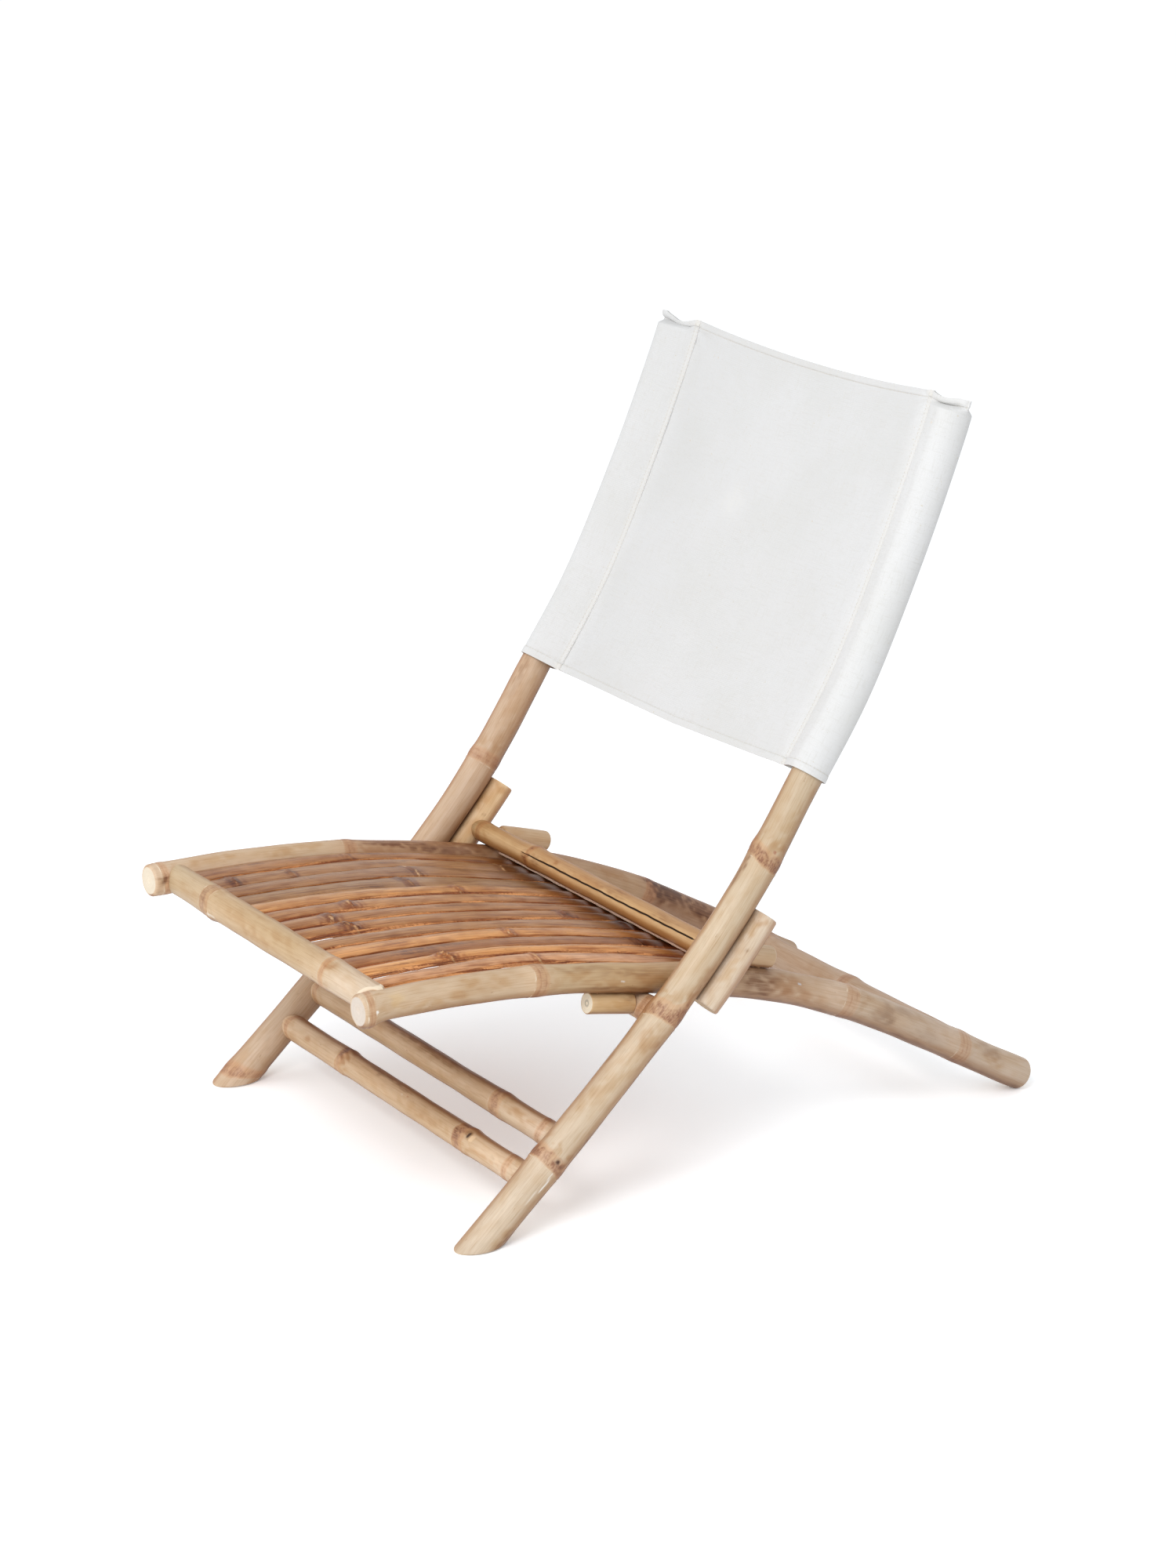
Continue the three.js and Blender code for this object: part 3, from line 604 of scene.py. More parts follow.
    def lifted(self, run, tt, r):
        """Points at distances along the route, angles around it and radii, on the sunk centre line."""
        p, _, across, up = self.route.at(run)
        p = p - up * self.sink(run)[..., None]
        return p + r[..., None] * (np.cos(tt)[..., None] * up + np.sin(tt)[..., None] * across)

    def close(self, run):
        """Adds the two end faces, with rings for the growth marks, and makes the piece."""
        tt, r0 = self.tt, self.r0
        skin = self.lifted(run, tt, self.r)
        place = np.stack([r0 * np.cos(tt), r0 * np.sin(tt), run + 1700.0 * self.seed], -1) * MM
        index, faces = around(*tt.shape)
        points, places, marks = [skin.reshape(-1, 3)], [place.reshape(-1, 3)], [self.mark.reshape(-1, 4)]
        tones = [np.concatenate([self.skin, np.ones(tt.shape + (1,))], -1).reshape(-1, 4)]
        quads, tris, count = [faces], [], tt.size
        for k, row in enumerate((0, -1)):
            way = 1 if row else -1
            rim, previous, colour = skin[row], index[row], linear(self.caps[k])
            centre = rim.mean(0)
            for share in self.CAP_SHARES:
                ring = centre + (rim - centre) * share
                if self.ends[k] is not None:
                    radii = self.r[row] * share
                    ring = self.lifted(self.ends[k](tt[row], radii), tt[row], radii)
                ids = count + np.arange(len(ring))
                count += len(ring)
                pith = self.piths[k] and 0.15 < share < 0.35
                tint = colour * (0.62 if pith else 1.0 - 0.06 * np.cos(share * 40))
                points.append(ring)
                tones.append(np.tile([*tint, 1.0], (len(ring), 1)))
                marks.append(np.zeros((len(ring), 4)))
                places.append((ring - centre) * MM + self.seed * 0.37)
                quads.append(np.stack([previous, np.roll(previous, -1), np.roll(ids, -1), ids], -1)[:, ::way])
                previous = ids
            points.append(points[-1].mean(0)[None])
            tones.append(np.array([[*(colour * 0.9), 1.0]]))
            marks.append(np.zeros((1, 4)))
            places.append(places[-1].mean(0)[None])
            fan = np.stack([previous, np.roll(previous, -1), np.full(len(previous), count)], -1)
            tris.append(fan[:, ::way])
            count += 1
        pad = lambda v: np.concatenate([v.ravel(), np.zeros(count - v.size)])
        layers = {"culm": np.vstack(places), "tone": np.vstack(tones), "mark": np.vstack(marks)}
        layers |= {"fuzz": pad(self.fuzz), "line": pad(self.line), "grime": pad(self.grime)}
        piece = build(
            self.name, np.vstack(points), np.vstack(quads), np.vstack(tris), layers, BAMBOO, self.body,
            self.stands_for, sharp=50,
        )
        piece.data.materials.append(CUT)
        slots = np.zeros(len(piece.data.polygons), np.int32)
        slots[len(faces) :] = 1
        piece.data.polygons.foreach_set("material_index", slots)
        return piece


def coped(route, target, radius_at, side):
    """Where each line along a bar meets the round side of what carries it."""
    at, radius = radius_at
    p, _, across, up = route.at(np.array(0.0))
    q, _, _, n = target.at(np.array(at))
    carrier_x, reach = abs(q[0]), radius + GAP

    def end(theta, r):
        offset = r[..., None] * (np.cos(theta)[..., None] * up + np.sin(theta)[..., None] * across)
        away = ((p + offset) - q) @ n
        return side * (carrier_x - np.sqrt(np.maximum(reach**2 - away**2, 0)))

    return end


def on_floor(route):
    """Where each line along a culm meets the floor."""

    def end(theta, r):
        s = np.zeros_like(theta)
        for _ in range(12):
            p, _, across, up = route.at(s)
            z = p[..., 2] + r * (np.cos(theta) * up[..., 2] + np.sin(theta) * across[..., 2])
            s = s - z / 0.75
        return s

    return end


FOOT = {s: float(on_floor(POLE[s])(np.array(0.0), np.array(0.0))) for s in (1, -1)}

# A node's settings: how far it tilts and swells and to which side, how far its fringe (band) reaches below
# and above it and how ragged that is (rag), tongues of it (angle, half width, length), where its fibres are
# dark and how strong they are (fuzz), the pale skin before it, the smear after it, and its pale lines.
NODE = {
    "tilt": 1.5, "tongues": (), "lopsided": 0.35, "bulge": 0, "soft": 4.0, "pale": 0.6, "smear": 0.35,
    "dark": 60, "even": 0.35, "lip": (238, 220, 194), "lip_share": 0.5, "arcs": (),
}
PEACH = {
    "fringe": (0.99, 0.88, 0.80), "fuzz": 0.30, "band": (4, 12), "rag": 0.9, "even": 0.5, "swell": 1.0,
    "arcs": ((0.35, 0.55), (0.75, 0.4)),
}
DARK_FIBRES = {
    "fringe": (1.0, 0.86, 0.76), "fuzz": 1.0, "band": (6, 22), "rag": 2.2, "swell": 1.4, "soft": 4.5,
    "smear": 0.6,
}


def peach(at, **more):
    """A node with a soft pinkish band, faint rings and few strokes."""
    return {**NODE, **PEACH, "at": at, **more}


def brown(at, **more):
    """A node with a ragged band of short purple-brown fibres under a pinkish fringe."""
    return {**NODE, **DARK_FIBRES, "at": at, **more}


# Tints of patches: they multiply the skin's colour.
TAN, OCHRE, BROWN = (0.84, 0.70, 0.52), (0.74, 0.55, 0.36), (0.52, 0.36, 0.24)
PALE, GREY = (1.12, 1.14, 1.18), (0.72, 0.66, 0.62)


def add_pole(side, name, **more):
    """A back pole, with a slanting foot that stands flat on the floor."""
    Culm(
        f"culm_back_pole_{name}", POLE[side], FOOT[side], POLE_LENGTH, pole_radius, "back_frame",
        [f"back_pole_{name}"], shade_at=(-38, 142), ends=(on_floor(POLE[side]), None), rims=(2.0, 2.0),
        **more,
    ).make()


def add_right_pole():
    add_pole(
        1, "right", seed=11, sides=120,
        nodes=[
            brown(129, rag=1.6, band=(2, 15), dark=10, even=0.45, tilt=2, tilt_to=0),
            brown(
                325, rag=2.0, band=(6, 16), dark=86, even=0.3, tilt=4, tilt_to=100, tongues=((104, 22, 14),),
            ),
            brown(521, swell=1.6, rag=1.8, band=(3, 16), dark=80, tilt=-6, tilt_to=110), peach(731),
            peach(925),
        ],
        tone=[
            (0, (220, 200, 173)), (120, (224, 203, 175)), (300, (224, 202, 172)), (420, (219, 197, 166)),
            (540, (213, 191, 160)), (760, (212, 190, 159)), (1040, (212, 188, 157)),
        ],
        stains=[(20, 620, 126, 34, 34, (0.70, 0.55, 0.42)), (20, 620, -28, 24, 24, (0.80, 0.66, 0.54))],
        patches=[
            (298, 72, 34, 26, 0.6, OCHRE), (272, 60, 40, 22, 0.35, TAN), (228, 45, 50, 22, 0.45, TAN),
            (205, 20, 30, 14, 0.4, TAN), (222, 55, 10, 6, 0.5, PALE), (270, 25, 50, 20, 0.7, PALE),
            (508, -6, 26, 9, 0.75, None), (492, -12, 30, 8, 0.5, None), (20, 118, 60, 22, 0.6, None),
            (165, 120, 60, 10, 0.45, None), (36, 96, 34, 16, 0.6, TAN), (60, 40, 60, 24, 0.6, PALE),
            (375, 100, 50, 14, 0.5, OCHRE), (560, 80, 50, 20, 0.5, TAN), (440, 30, 60, 20, 0.5, PALE),
            (139, 92, 10, 14, 0.7, None),
        ],
        marks=[
            (94, 82, 26, 2.6, (246, 240, 230), 0.5), (112, 92, 22, 2.6, (246, 240, 230), 0.6),
            (122, 86, 14, 2, (246, 240, 230), 0.5), (139, 75, 11, 11, (172, 128, 98), 0.6),
            (139, 75, 8.6, 8.6, (214, 186, 154), 0.7), (139, 75, 4.4, 4.4, (74, 42, 30), 1.0),
            (533, 72, 4.4, 4.4, (168, 112, 84), 0.7),
        ],
    )


def add_left_pole():
    add_pole(
        -1, "left", seed=12, sides=84,
        nodes=[
            brown(37, swell=1.2, rag=1.4, band=(3, 9), dark=0, fuzz=0.6, smear=0.2), peach(275, swell=1.3),
            peach(483, swell=1.3), peach(691), peach(895),
        ],
        tone=[
            (0, (222, 196, 166)), (160, (220, 193, 163)), (330, (212, 181, 149)), (440, (216, 187, 157)),
            (1040, (220, 192, 164)),
        ],
        stains=[(-20, 1000, 126, 34, 34, (0.72, 0.58, 0.46)), (-20, 1000, -28, 24, 24, (0.80, 0.66, 0.54))],
        patches=[
            (8, 10, 20, 20, 0.7, None), (60, 50, 60, 20, 0.6, PALE), (16, 60, 16, 20, 0.6, PALE),
            (545, 60, 120, 22, 0.3, TAN), (590, 20, 60, 10, 0.4, None), (350, 80, 60, 16, 0.5, TAN),
            (234, -4, 36, 9, 0.55, BROWN), (214, 4, 16, 7, 0.5, None),
        ],
    )


def add_blocks():
    """The short culms behind the poles at the crossing."""
    tones = {1: [(0, (241, 222, 197)), (900, (238, 218, 192))], -1: [(0, (252, 219, 172))]}
    for side, name, seed in ((1, "right", 21), (-1, "left", 22)):
        Culm(
            f"culm_spacer_block_{name}", Beside(POLE[side], -BLOCK_BEHIND), LOCK_UP - BLOCK_HALF,
            LOCK_UP + BLOCK_HALF, BLOCK_R, "back_frame", [f"spacer_block_{name}"], seed=seed, rims=(2.5, 2.5),
            tone=tones[side], caps=((214, 190, 160), (222, 200, 172)),
            # The band at 12 degrees is painted shadow: the dark line along the block's edge beside the pole.
            stains=[(300, 520, 128, 30, 30, (0.66, 0.50, 0.40)), (300, 620, 12, 9, 12, (0.20, 0.14, 0.10))],
            patches=[
                (LOCK_UP + 30, 40, 34, 14, 0.8, TAN), (LOCK_UP - 10, 55, 40, 12, 0.7, TAN),
                (LOCK_UP + 48, 60, 12, 22, 0.6, OCHRE), (LOCK_UP + 14, 70, 5, 4, 0.8, None),
                (LOCK_UP - 36, 30, 30, 12, 0.6, TAN),
            ],
        ).make()


def add_pole_bar(up, name, **more):
    """A round bar between the poles, at a distance up the middle route."""
    _, y, z = POLE[0].at(up)[0]
    route, radius = Bar(y, z), float(pole_radius(up))
    reach = POLE_X - radius
    ends = [coped(route, POLE[s], (up, radius), s) for s in (-1, 1)]
    Culm(
        f"culm_{name}", route, -reach, reach, POLE_BAR_R, "back_frame", [name], ends=ends, rims=(2.2, 2.2),
        sides=64, **more,
    ).make()


def add_lower_stretcher():
    add_pole_bar(
        STRETCHERS_UP[0], "lower_leg_stretcher", seed=31,
        nodes=[
            brown(-116, rag=1.2, band=(8, 6), dark=-10, even=0.15, fuzz=0.9, fringe=(0.98, 0.86, 0.76)),
            brown(139, swell=1.3, band=(14, 8), even=0.55, dark=10, fuzz=1.0, fringe=(0.92, 0.78, 0.68)),
            peach(222, swell=0.5, band=(2, 8)), peach(-232, swell=0.5, band=(2, 6)),
        ],
        tone=[
            (-240, (220, 189, 153)), (-60, (224, 192, 152)), (120, (224, 193, 153)), (180, (232, 205, 170)),
            (240, (234, 208, 176)),
        ],
        # The band at 150 degrees is painted shade along the lower edge.
        stains=[(-240, 240, -12, 20, 26, (0.52, 0.36, 0.25)), (-240, 240, 150, 30, 30, (0.82, 0.70, 0.60))],
        patches=[
            (-30, 6, 60, 5, 0.9, None), (5, 16, 40, 4, 0.7, None), (-42, 20, 8, 5, 0.8, None),
            (-118, 8, 14, 12, 0.9, None), (-108, 40, 16, 20, 0.8, OCHRE), (-186, 62, 14, 8, 0.7, OCHRE),
            (60, 60, 120, 10, 0.5, TAN), (-40, 60, 120, 14, 0.4, PALE), (190, 60, 60, 16, 0.6, PALE),
            (190, 78, 60, 5, 0.5, OCHRE), (148, 26, 10, 10, 0.9, None), (128, 50, 12, 14, 0.6, None),
        ],
        marks=[
            (14, 40, 7, 3, (230, 216, 196), 0.5), (25, 36, 5, 3, (190, 130, 92), 0.6),
            (156, 36, 8, 9, (236, 206, 166), 0.8), (149, 30, 4, 8, (66, 42, 32), 0.9),
        ],
    )


def add_upper_stretcher():
    add_pole_bar(
        STRETCHERS_UP[1], "upper_leg_stretcher", seed=32,
        nodes=[
            peach(-234, swell=0.6, band=(2, 8)), peach(143, swell=1.0, band=(8, 14), rag=1.4, fuzz=0.6),
            peach(226, swell=0.6, band=(2, 8)),
        ],
        tone=[
            (-240, (212, 179, 140)), (0, (220, 187, 146)), (130, (216, 186, 149)), (170, (224, 198, 164)),
            (240, (228, 203, 174)),
        ],
        # The band at 150 degrees is painted shade along the lower edge.
        stains=[(-240, 240, -12, 22, 26, (0.50, 0.34, 0.23)), (-240, 240, 150, 30, 30, (0.82, 0.70, 0.60))],
        patches=[
            (0, 20, 150, 10, 0.6, None), (-80, 60, 90, 12, 0.4, PALE), (60, 70, 90, 12, 0.4, PALE),
            (190, 50, 50, 10, 0.6, OCHRE),
        ],
    )


def add_support_bar():
    add_pole_bar(
        SUPPORT_UP, "lower_support_bar", seed=33,
        nodes=[peach(-80, swell=1.2), peach(233, swell=0.8, band=(3, 14))],
        tone=[(-240, (214, 182, 148)), (240, (222, 190, 156))],
    )


def add_lock_bar():
    """The bar behind the crossing, a little slimmer to the left, with a long crack."""
    route = Bar(LOCK_Y, LOCK_Z)
    targets = {s: Beside(POLE[s], -BLOCK_BEHIND) for s in (-1, 1)}
    girth = lambda x: np.interp(x, (-245, -150, -120, 245), (11.8, 12.2, 12.9, 13.2))
    Culm(
        "culm_upper_lock_bar", route, -(POLE_X - BLOCK_R), POLE_X - BLOCK_R, girth, "back_frame",
        ["upper_lock_bar"], seed=34, ends=[coped(route, targets[s], (LOCK_UP, BLOCK_R), s) for s in (-1, 1)],
        rims=(3.0, 2.0), sink=lambda x: LOCK_R - girth(x),
        nodes=[
            brown(
                -124, swell=1.2, rag=1.2, band=(4, 6), fuzz=0.7, dark=60, fringe=(0.90, 0.76, 0.64),
                lip_share=0.2,
            ),
            peach(-232, swell=0.7, band=(2, 8), lip=(176, 110, 78)),
        ],
        tone=[
            (-245, (216, 180, 130)), (-150, (212, 174, 124)), (-80, (220, 182, 132)), (100, (218, 178, 124)),
            (245, (220, 182, 132)),
        ],
        stains=[(-245, 245, 112, 26, 30, (0.66, 0.50, 0.36)), (-245, 245, 0, 34, 36, (0.76, 0.66, 0.58))],
        patches=[
            (-70, 62, 60, 10, 0.6, TAN), (0, 40, 90, 8, 0.5, OCHRE), (90, 84, 90, 9, 0.6, PALE),
            (-60, 86, 70, 9, 0.5, PALE), (-72, 26, 8, 6, 0.8, OCHRE), (-130, 66, 12, 12, 0.9, None),
            (150, 30, 60, 12, 0.5, None), (40, 20, 60, 10, 0.4, None), (-108, 76, 16, 12, 0.6, None),
        ],
        cracks=[
            {
                "from": (-140, 62), "to": (206, 54), "width": 1.15, "depth": 1.8, "open": 60, "close": 10,
                "wander": 0.3,
            },
        ],
    ).make()


# The slim part of the near rail, and where the bars between the rails lie from their ends
SLIM, FRONT_BAR_IN, REAR_BAR_IN = 15.7, 25.6, 118


def near_rail_radius(s):
    """The near rail is a tapering culm, thinner at the front."""
    return np.interp(s, (0, 14, 34, 345, 446, 915), (16.9, 16.9, SLIM, SLIM, RAIL_R, RAIL_R))


def add_right_rail():
    Culm(
        "culm_seat_rail_right", RAIL[1], 0, RAIL[1].length, near_rail_radius, "seat_frame",
        ["seat_rail_right"], seed=41, sides=84, shade_at=(-22, 158), rims=(3.0, 5.0),
        caps=((222, 209, 196), (206, 180, 152)),
        sink=lambda s: RAIL_R - near_rail_radius(s) + 2.4 * ease((30 - s) / 26),
        nodes=[
            peach(8, swell=1.3, band=(3, 5), lip_share=0.8, bulge=150, lopsided=0.9),
            peach(204, swell=1.2, band=(5, 12), lip_share=0.8, pale=1.4, arcs=((0.3, 0.8), (0.7, 0.7))),
            peach(400, swell=1.2),
            peach(
                617, swell=1.0, band=(6, 14), rag=1.6, lopsided=0.5, pale=1.2, lip_share=0.7, fuzz=0.12,
                fringe=(1.04, 0.95, 0.88),
            ),
            peach(
                799, swell=0.9, band=(8, 12), rag=1.4, pale=1.0, arcs=((0.3, 0.6), (0.6, 0.6), (0.85, 0.5)),
                fuzz=0.12, fringe=(1.04, 0.95, 0.88),
            ),
        ],
        # The darker tone around 430 is partly painted shade behind the crossing.
        tone=[
            (0, (218, 192, 160)), (120, (214, 186, 152)), (200, (220, 192, 158)), (235, (205, 176, 137)),
            (320, (202, 168, 124)), (430, (186, 152, 118)), (560, (206, 176, 146)), (640, (206, 182, 156)),
            (760, (202, 178, 154)), (930, (210, 188, 164)),
        ],
        # The band at 140 degrees is painted shade along the rail's lower edge.
        stains=[(-20, 930, 140, 26, 30, (0.74, 0.62, 0.52))],
        patches=[
            (38, 56, 18, 16, 0.9, (1.08, 1.06, 0.94)), (122, 40, 26, 12, 0.7, TAN),
            (108, 84, 24, 9, 0.6, TAN), (70, 100, 60, 14, 0.6, TAN), (158, 60, 30, 16, 0.5, TAN),
            (90, 66, 40, 14, 0.6, PALE), (60, 84, 26, 10, 0.6, PALE), (318, 48, 90, 10, 0.40, None),
            (270, 34, 70, 9, 0.35, None), (255, 64, 30, 16, 0.6, TAN), (290, 92, 40, 10, 0.6, TAN),
            # The dark patch at 488 is partly a stain and partly painted shadow behind the crossing.
            (300, 122, 90, 8, 0.6, None), (345, 80, 40, 12, 0.6, OCHRE), (488, 60, 46, 44, 0.85, None),
            (520, 70, 50, 26, 0.6, OCHRE), (545, 100, 60, 12, 0.5, OCHRE), (590, 60, 30, 30, 0.8, PALE),
            (676, 68, 22, 26, 0.7, GREY), (668, 92, 34, 14, 0.6, GREY), (700, 40, 40, 12, 0.6, GREY),
            (740, 96, 50, 12, 0.4, GREY), (845, 50, 36, 16, 0.75, GREY), (850, 84, 30, 14, 0.6, TAN),
            (880, 100, 30, 14, 0.5, PALE), (770, 60, 40, 26, 0.6, PALE),
        ],
        marks=[
            (309, 86, 8, 3, (228, 222, 216), 0.6), (542, 58, 5, 3.5, (206, 212, 220), 0.6),
            (12, 84, 4, 3, (250, 246, 240), 0.6), (231, 70, 3, 6, (240, 228, 208), 0.4),
        ],
    ).make()


def add_left_rail():
    Culm(
        "culm_seat_rail_left", RAIL[-1], -4.5, RAIL[-1].length, RAIL_R, "seat_frame", ["seat_rail_left"],
        seed=42, sides=84, shade_at=(-22, 158), rims=(3.0, 5.0), caps=((236, 222, 200), (206, 180, 152)),
        nodes=[
            peach(8, swell=0.7, band=(3, 6), lip_share=0.8),
            peach(235, swell=0.9, band=(4, 12), rag=1.6, lip_share=0.6), peach(455, swell=0.8),
            peach(656, swell=0.8, band=(5, 13), rag=1.4, lip_share=0.3, fringe=(1.1, 0.98, 0.88)),
            peach(864, swell=0.9),
        ],
        tone=[
            (0, (222, 194, 162)), (200, (216, 187, 152)), (250, (196, 158, 122)), (330, (182, 140, 102)),
            (460, (176, 136, 102)), (560, (186, 153, 120)), (640, (186, 152, 118)), (672, (162, 124, 94)),
            (760, (174, 136, 104)), (930, (200, 174, 146)),
        ],
        stains=[(250, 930, 0, 26, 40, (0.86, 0.76, 0.66))],
        patches=[
            (5, 78, 12, 12, 1.0, None), (5, 78, 7, 7, 1.0, (0.4, 0.3, 0.25)), (70, 30, 60, 12, 0.6, TAN),
            (150, 44, 40, 10, 0.7, TAN), (110, 70, 60, 12, 0.5, PALE), (185, 20, 40, 10, 0.6, TAN),
            (298, 20, 90, 12, 1.0, None), (330, 40, 60, 10, 0.9, None), (262, 10, 40, 8, 0.8, None),
            (275, 60, 40, 12, 0.6, OCHRE), (375, 40, 80, 26, 0.6, BROWN), (385, 50, 60, 18, 0.7, None),
            (420, 24, 60, 12, 0.6, None), (600, 40, 50, 12, 0.6, TAN),
            (690, 44, 62, 30, 0.95, (0.46, 0.33, 0.24)), (686, 34, 60, 18, 1.0, None),
            (684, 60, 40, 16, 1.0, None), (752, 60, 60, 26, 0.8, (0.54, 0.40, 0.30)),
            (748, 62, 50, 16, 1.0, None), (730, 36, 60, 12, 0.7, None), (785, 50, 60, 14, 0.7, None),
        ],
        marks=[(712, 42, 4, 5, (196, 160, 122), 0.6), (730, 46, 5, 4, (190, 150, 112), 0.5)],
    ).make()


def add_rail_bar(name, at, radius, carriers, **more):
    """A round bar between the rails, which have these radii there on the left and the right."""
    _, y, z = SEAT.at(at)[0]
    route, (left, right) = Bar(y, z), carriers
    ends = [coped(route, RAIL[s], (at, carrier), s) for s, carrier in ((-1, left), (1, right))]
    Culm(
        f"culm_{name}", route, left - RAIL_X, RAIL_X - right, radius, "seat_frame", [name], ends=ends, **more
    ).make()


def add_front_bar():
    add_rail_bar(
        "front_bar", FRONT_BAR_IN, FRONT_BAR_R, (RAIL_R, SLIM), seed=51, sides=80, rims=(2.5, 3.5),
        nodes=[
            peach(
                -121, swell=1.6, rag=2.0, band=(10, 8), bulge=150, fuzz=0.35, fringe=(0.96, 0.86, 0.80),
                tilt=3, tilt_to=180, arcs=((0.1, 0.8), (0.5, 0.7), (0.9, 0.6)), pale=0.2, lip_share=0.7,
            ),
            peach(126, swell=1.1, band=(3, 7), dark=90, fringe=(1.0, 0.84, 0.70), rag=0.7, lip_share=0.3),
        ],
        tone=[
            (-204, (208, 183, 146)), (-150, (206, 179, 142)), (-90, (207, 176, 135)), (60, (203, 172, 129)),
            (110, (210, 181, 143)), (165, (222, 198, 168)), (204, (226, 204, 176)),
        ],
        # The band at 150 degrees is painted shade along the bar's lower edge.
        stains=[(-204, 204, 150, 26, 30, (0.80, 0.68, 0.56))],
        patches=[
            (-101, 96, 22, 12, 0.9, PALE), (-50, 60, 90, 10, 0.4, TAN), (0, 88, 70, 10, 0.5, TAN),
            (30, 36, 60, 10, 0.4, TAN), (105, 84, 30, 16, 0.4, PALE), (-127, 60, 14, 14, 0.5, None),
            (-165, 96, 40, 14, 0.4, TAN), (136, 30, 16, 10, 0.6, OCHRE), (170, 60, 40, 20, 0.5, PALE),
        ],
        marks=[
            (-158, 60, 1.8, 46, (248, 242, 230), 0.6), (-107, 112, 20, 5, (238, 228, 212), 0.5),
            (203, 0, 8, 400, (238, 220, 194), 0.9),
        ],
    )


def add_rear_bar():
    add_rail_bar(
        "rear_bar", SEAT.length - REAR_BAR_IN, REAR_BAR_R, (RAIL_R, RAIL_R), seed=52, rims=(2, 2),
        nodes=[peach(-130, swell=1.2), peach(31, swell=1.3)],
        tone=[(-204, (200, 170, 142)), (204, (202, 172, 144))],
    )


# The stops: their height over the rail's middle, where they start and end, and their radius
TOP_STOP, BOTTOM_STOP = (30.05, 442.7, 505.7, 12.0), (-29.55, 279.1, 335.1, 11.5)
TOP_STOP_TONE = {1: (220, 190, 154), -1: (210, 178, 140)}


def add_stop(side, name, stop, seed, **more):
    above, low, high, radius = stop
    Culm(
        f"culm_{name}", Beside(RAIL[side], above), low, high, radius, "seat_frame", [name], seed=seed,
        sides=56, **more,
    ).make()


def add_stops():
    """The short culms on top of the rails and under them."""
    for side, name, seed in ((1, "right", 61), (-1, "left", 63)):
        add_stop(
            side, f"top_stop_{name}", TOP_STOP, seed, rims=(3.5, 3.5), tone=[(440, TOP_STOP_TONE[side])],
            caps=((222, 194, 160),) * 2,
        )
        add_stop(
            side, f"bottom_stop_{name}", BOTTOM_STOP, seed + 1, rims=(1.0, 1.0),
            tone=[(280, (226, 192, 144))], caps=((252, 240, 216), (226, 200, 164)), piths=(1, 1),
            patches=[(300, 10, 60, 5, 0.9, None), (330, 40, 18, 8, 0.8, None), (310, 80, 40, 8, 0.5, TAN)],
        )


def split_material():
    """Split bamboo: warm skin with streaks, and raw fibrous edges where the culm was split."""
    n = Nodes("split_bamboo")
    place = n.attribute("culm")
    stretched = lambda along, *noise: n.noise(n.scaled(place, (1, along, 1)), *noise)
    fibre, strand = stretched(0.022, 820, 6, 0.68), stretched(0.04, 300, 4, 0.6)
    cloud, broad = stretched(0.25, 95, 4, 0.62, 0.6), stretched(0.30, 32, 3, 0.55, 0.4)
    speck = stretched(0.22, 420, 2, 0.5)
    colour = n.tinted(
        n.attribute("tone", "Color"),
        (broad, 0.50, 0.70, 0.45, (0.82, 0.72, 0.60)), (broad, 0.48, 0.30, 0.40, (1.12, 1.08, 1.00)),
        (cloud, 0.50, 0.70, 0.55, (0.76, 0.64, 0.50)), (cloud, 0.48, 0.28, 0.50, (1.14, 1.14, 1.12)),
        (fibre, 0.42, 0.66, 0.66, (0.58, 0.44, 0.32)), (strand, 0.53, 0.64, 0.72, (0.56, 0.40, 0.28)),
        (strand, 0.44, 0.32, 0.70, (1.20, 1.17, 1.12)), (speck, 0.70, 0.78, 0.65, (0.40, 0.27, 0.18)),
    )
    deep = n.mix(n.range(strand, 0.36, 0.62), linear((236, 168, 108)), linear((176, 104, 56)))
    deep = n.mix(n.range(fibre, 0.44, 0.70, 0, 0.70), deep, linear((130, 72, 38)))
    torn = n.range(n.ragged(n.attribute("raw", "Fac"), (strand, 0.7)), 0.35, 0.65)
    colour = n.mix(torn, colour, deep)
    share = n.attribute("mark", "Alpha")
    shown = n.product(n.range(n.ragged(share, (strand, 1.1)), 0.22, 0.70), n.range(share, 0.02, 0.4))
    colour = n.mix(shown, colour, n.attribute("mark", "Color"))
    streaks = n.range(n.sum((strand, 0.6), (fibre, 0.4)), 0.38, 0.58, 0.10, 1.0)
    # Darker streaks: painted shade down the low sides, in the gaps and beside the knots, and the smudges.
    colour = n.mix(n.product(n.attribute("grime", "Fac"), streaks), colour, (0.34, 0.22, 0.15), "MULTIPLY")
    rough = n.math("ADD", n.range(cloud, 0.3, 0.7, 0.30, 0.42), n.product(torn, 0.36))
    height = n.math("ADD", n.product(fibre, n.math("ADD", n.product(torn, 1.6), 0.45)), cloud)
    return n.finish(colour, rough, n.bump(height, 0.0004, 0.6), Specular_IOR_Level=0.38)


SPLIT = split_material()

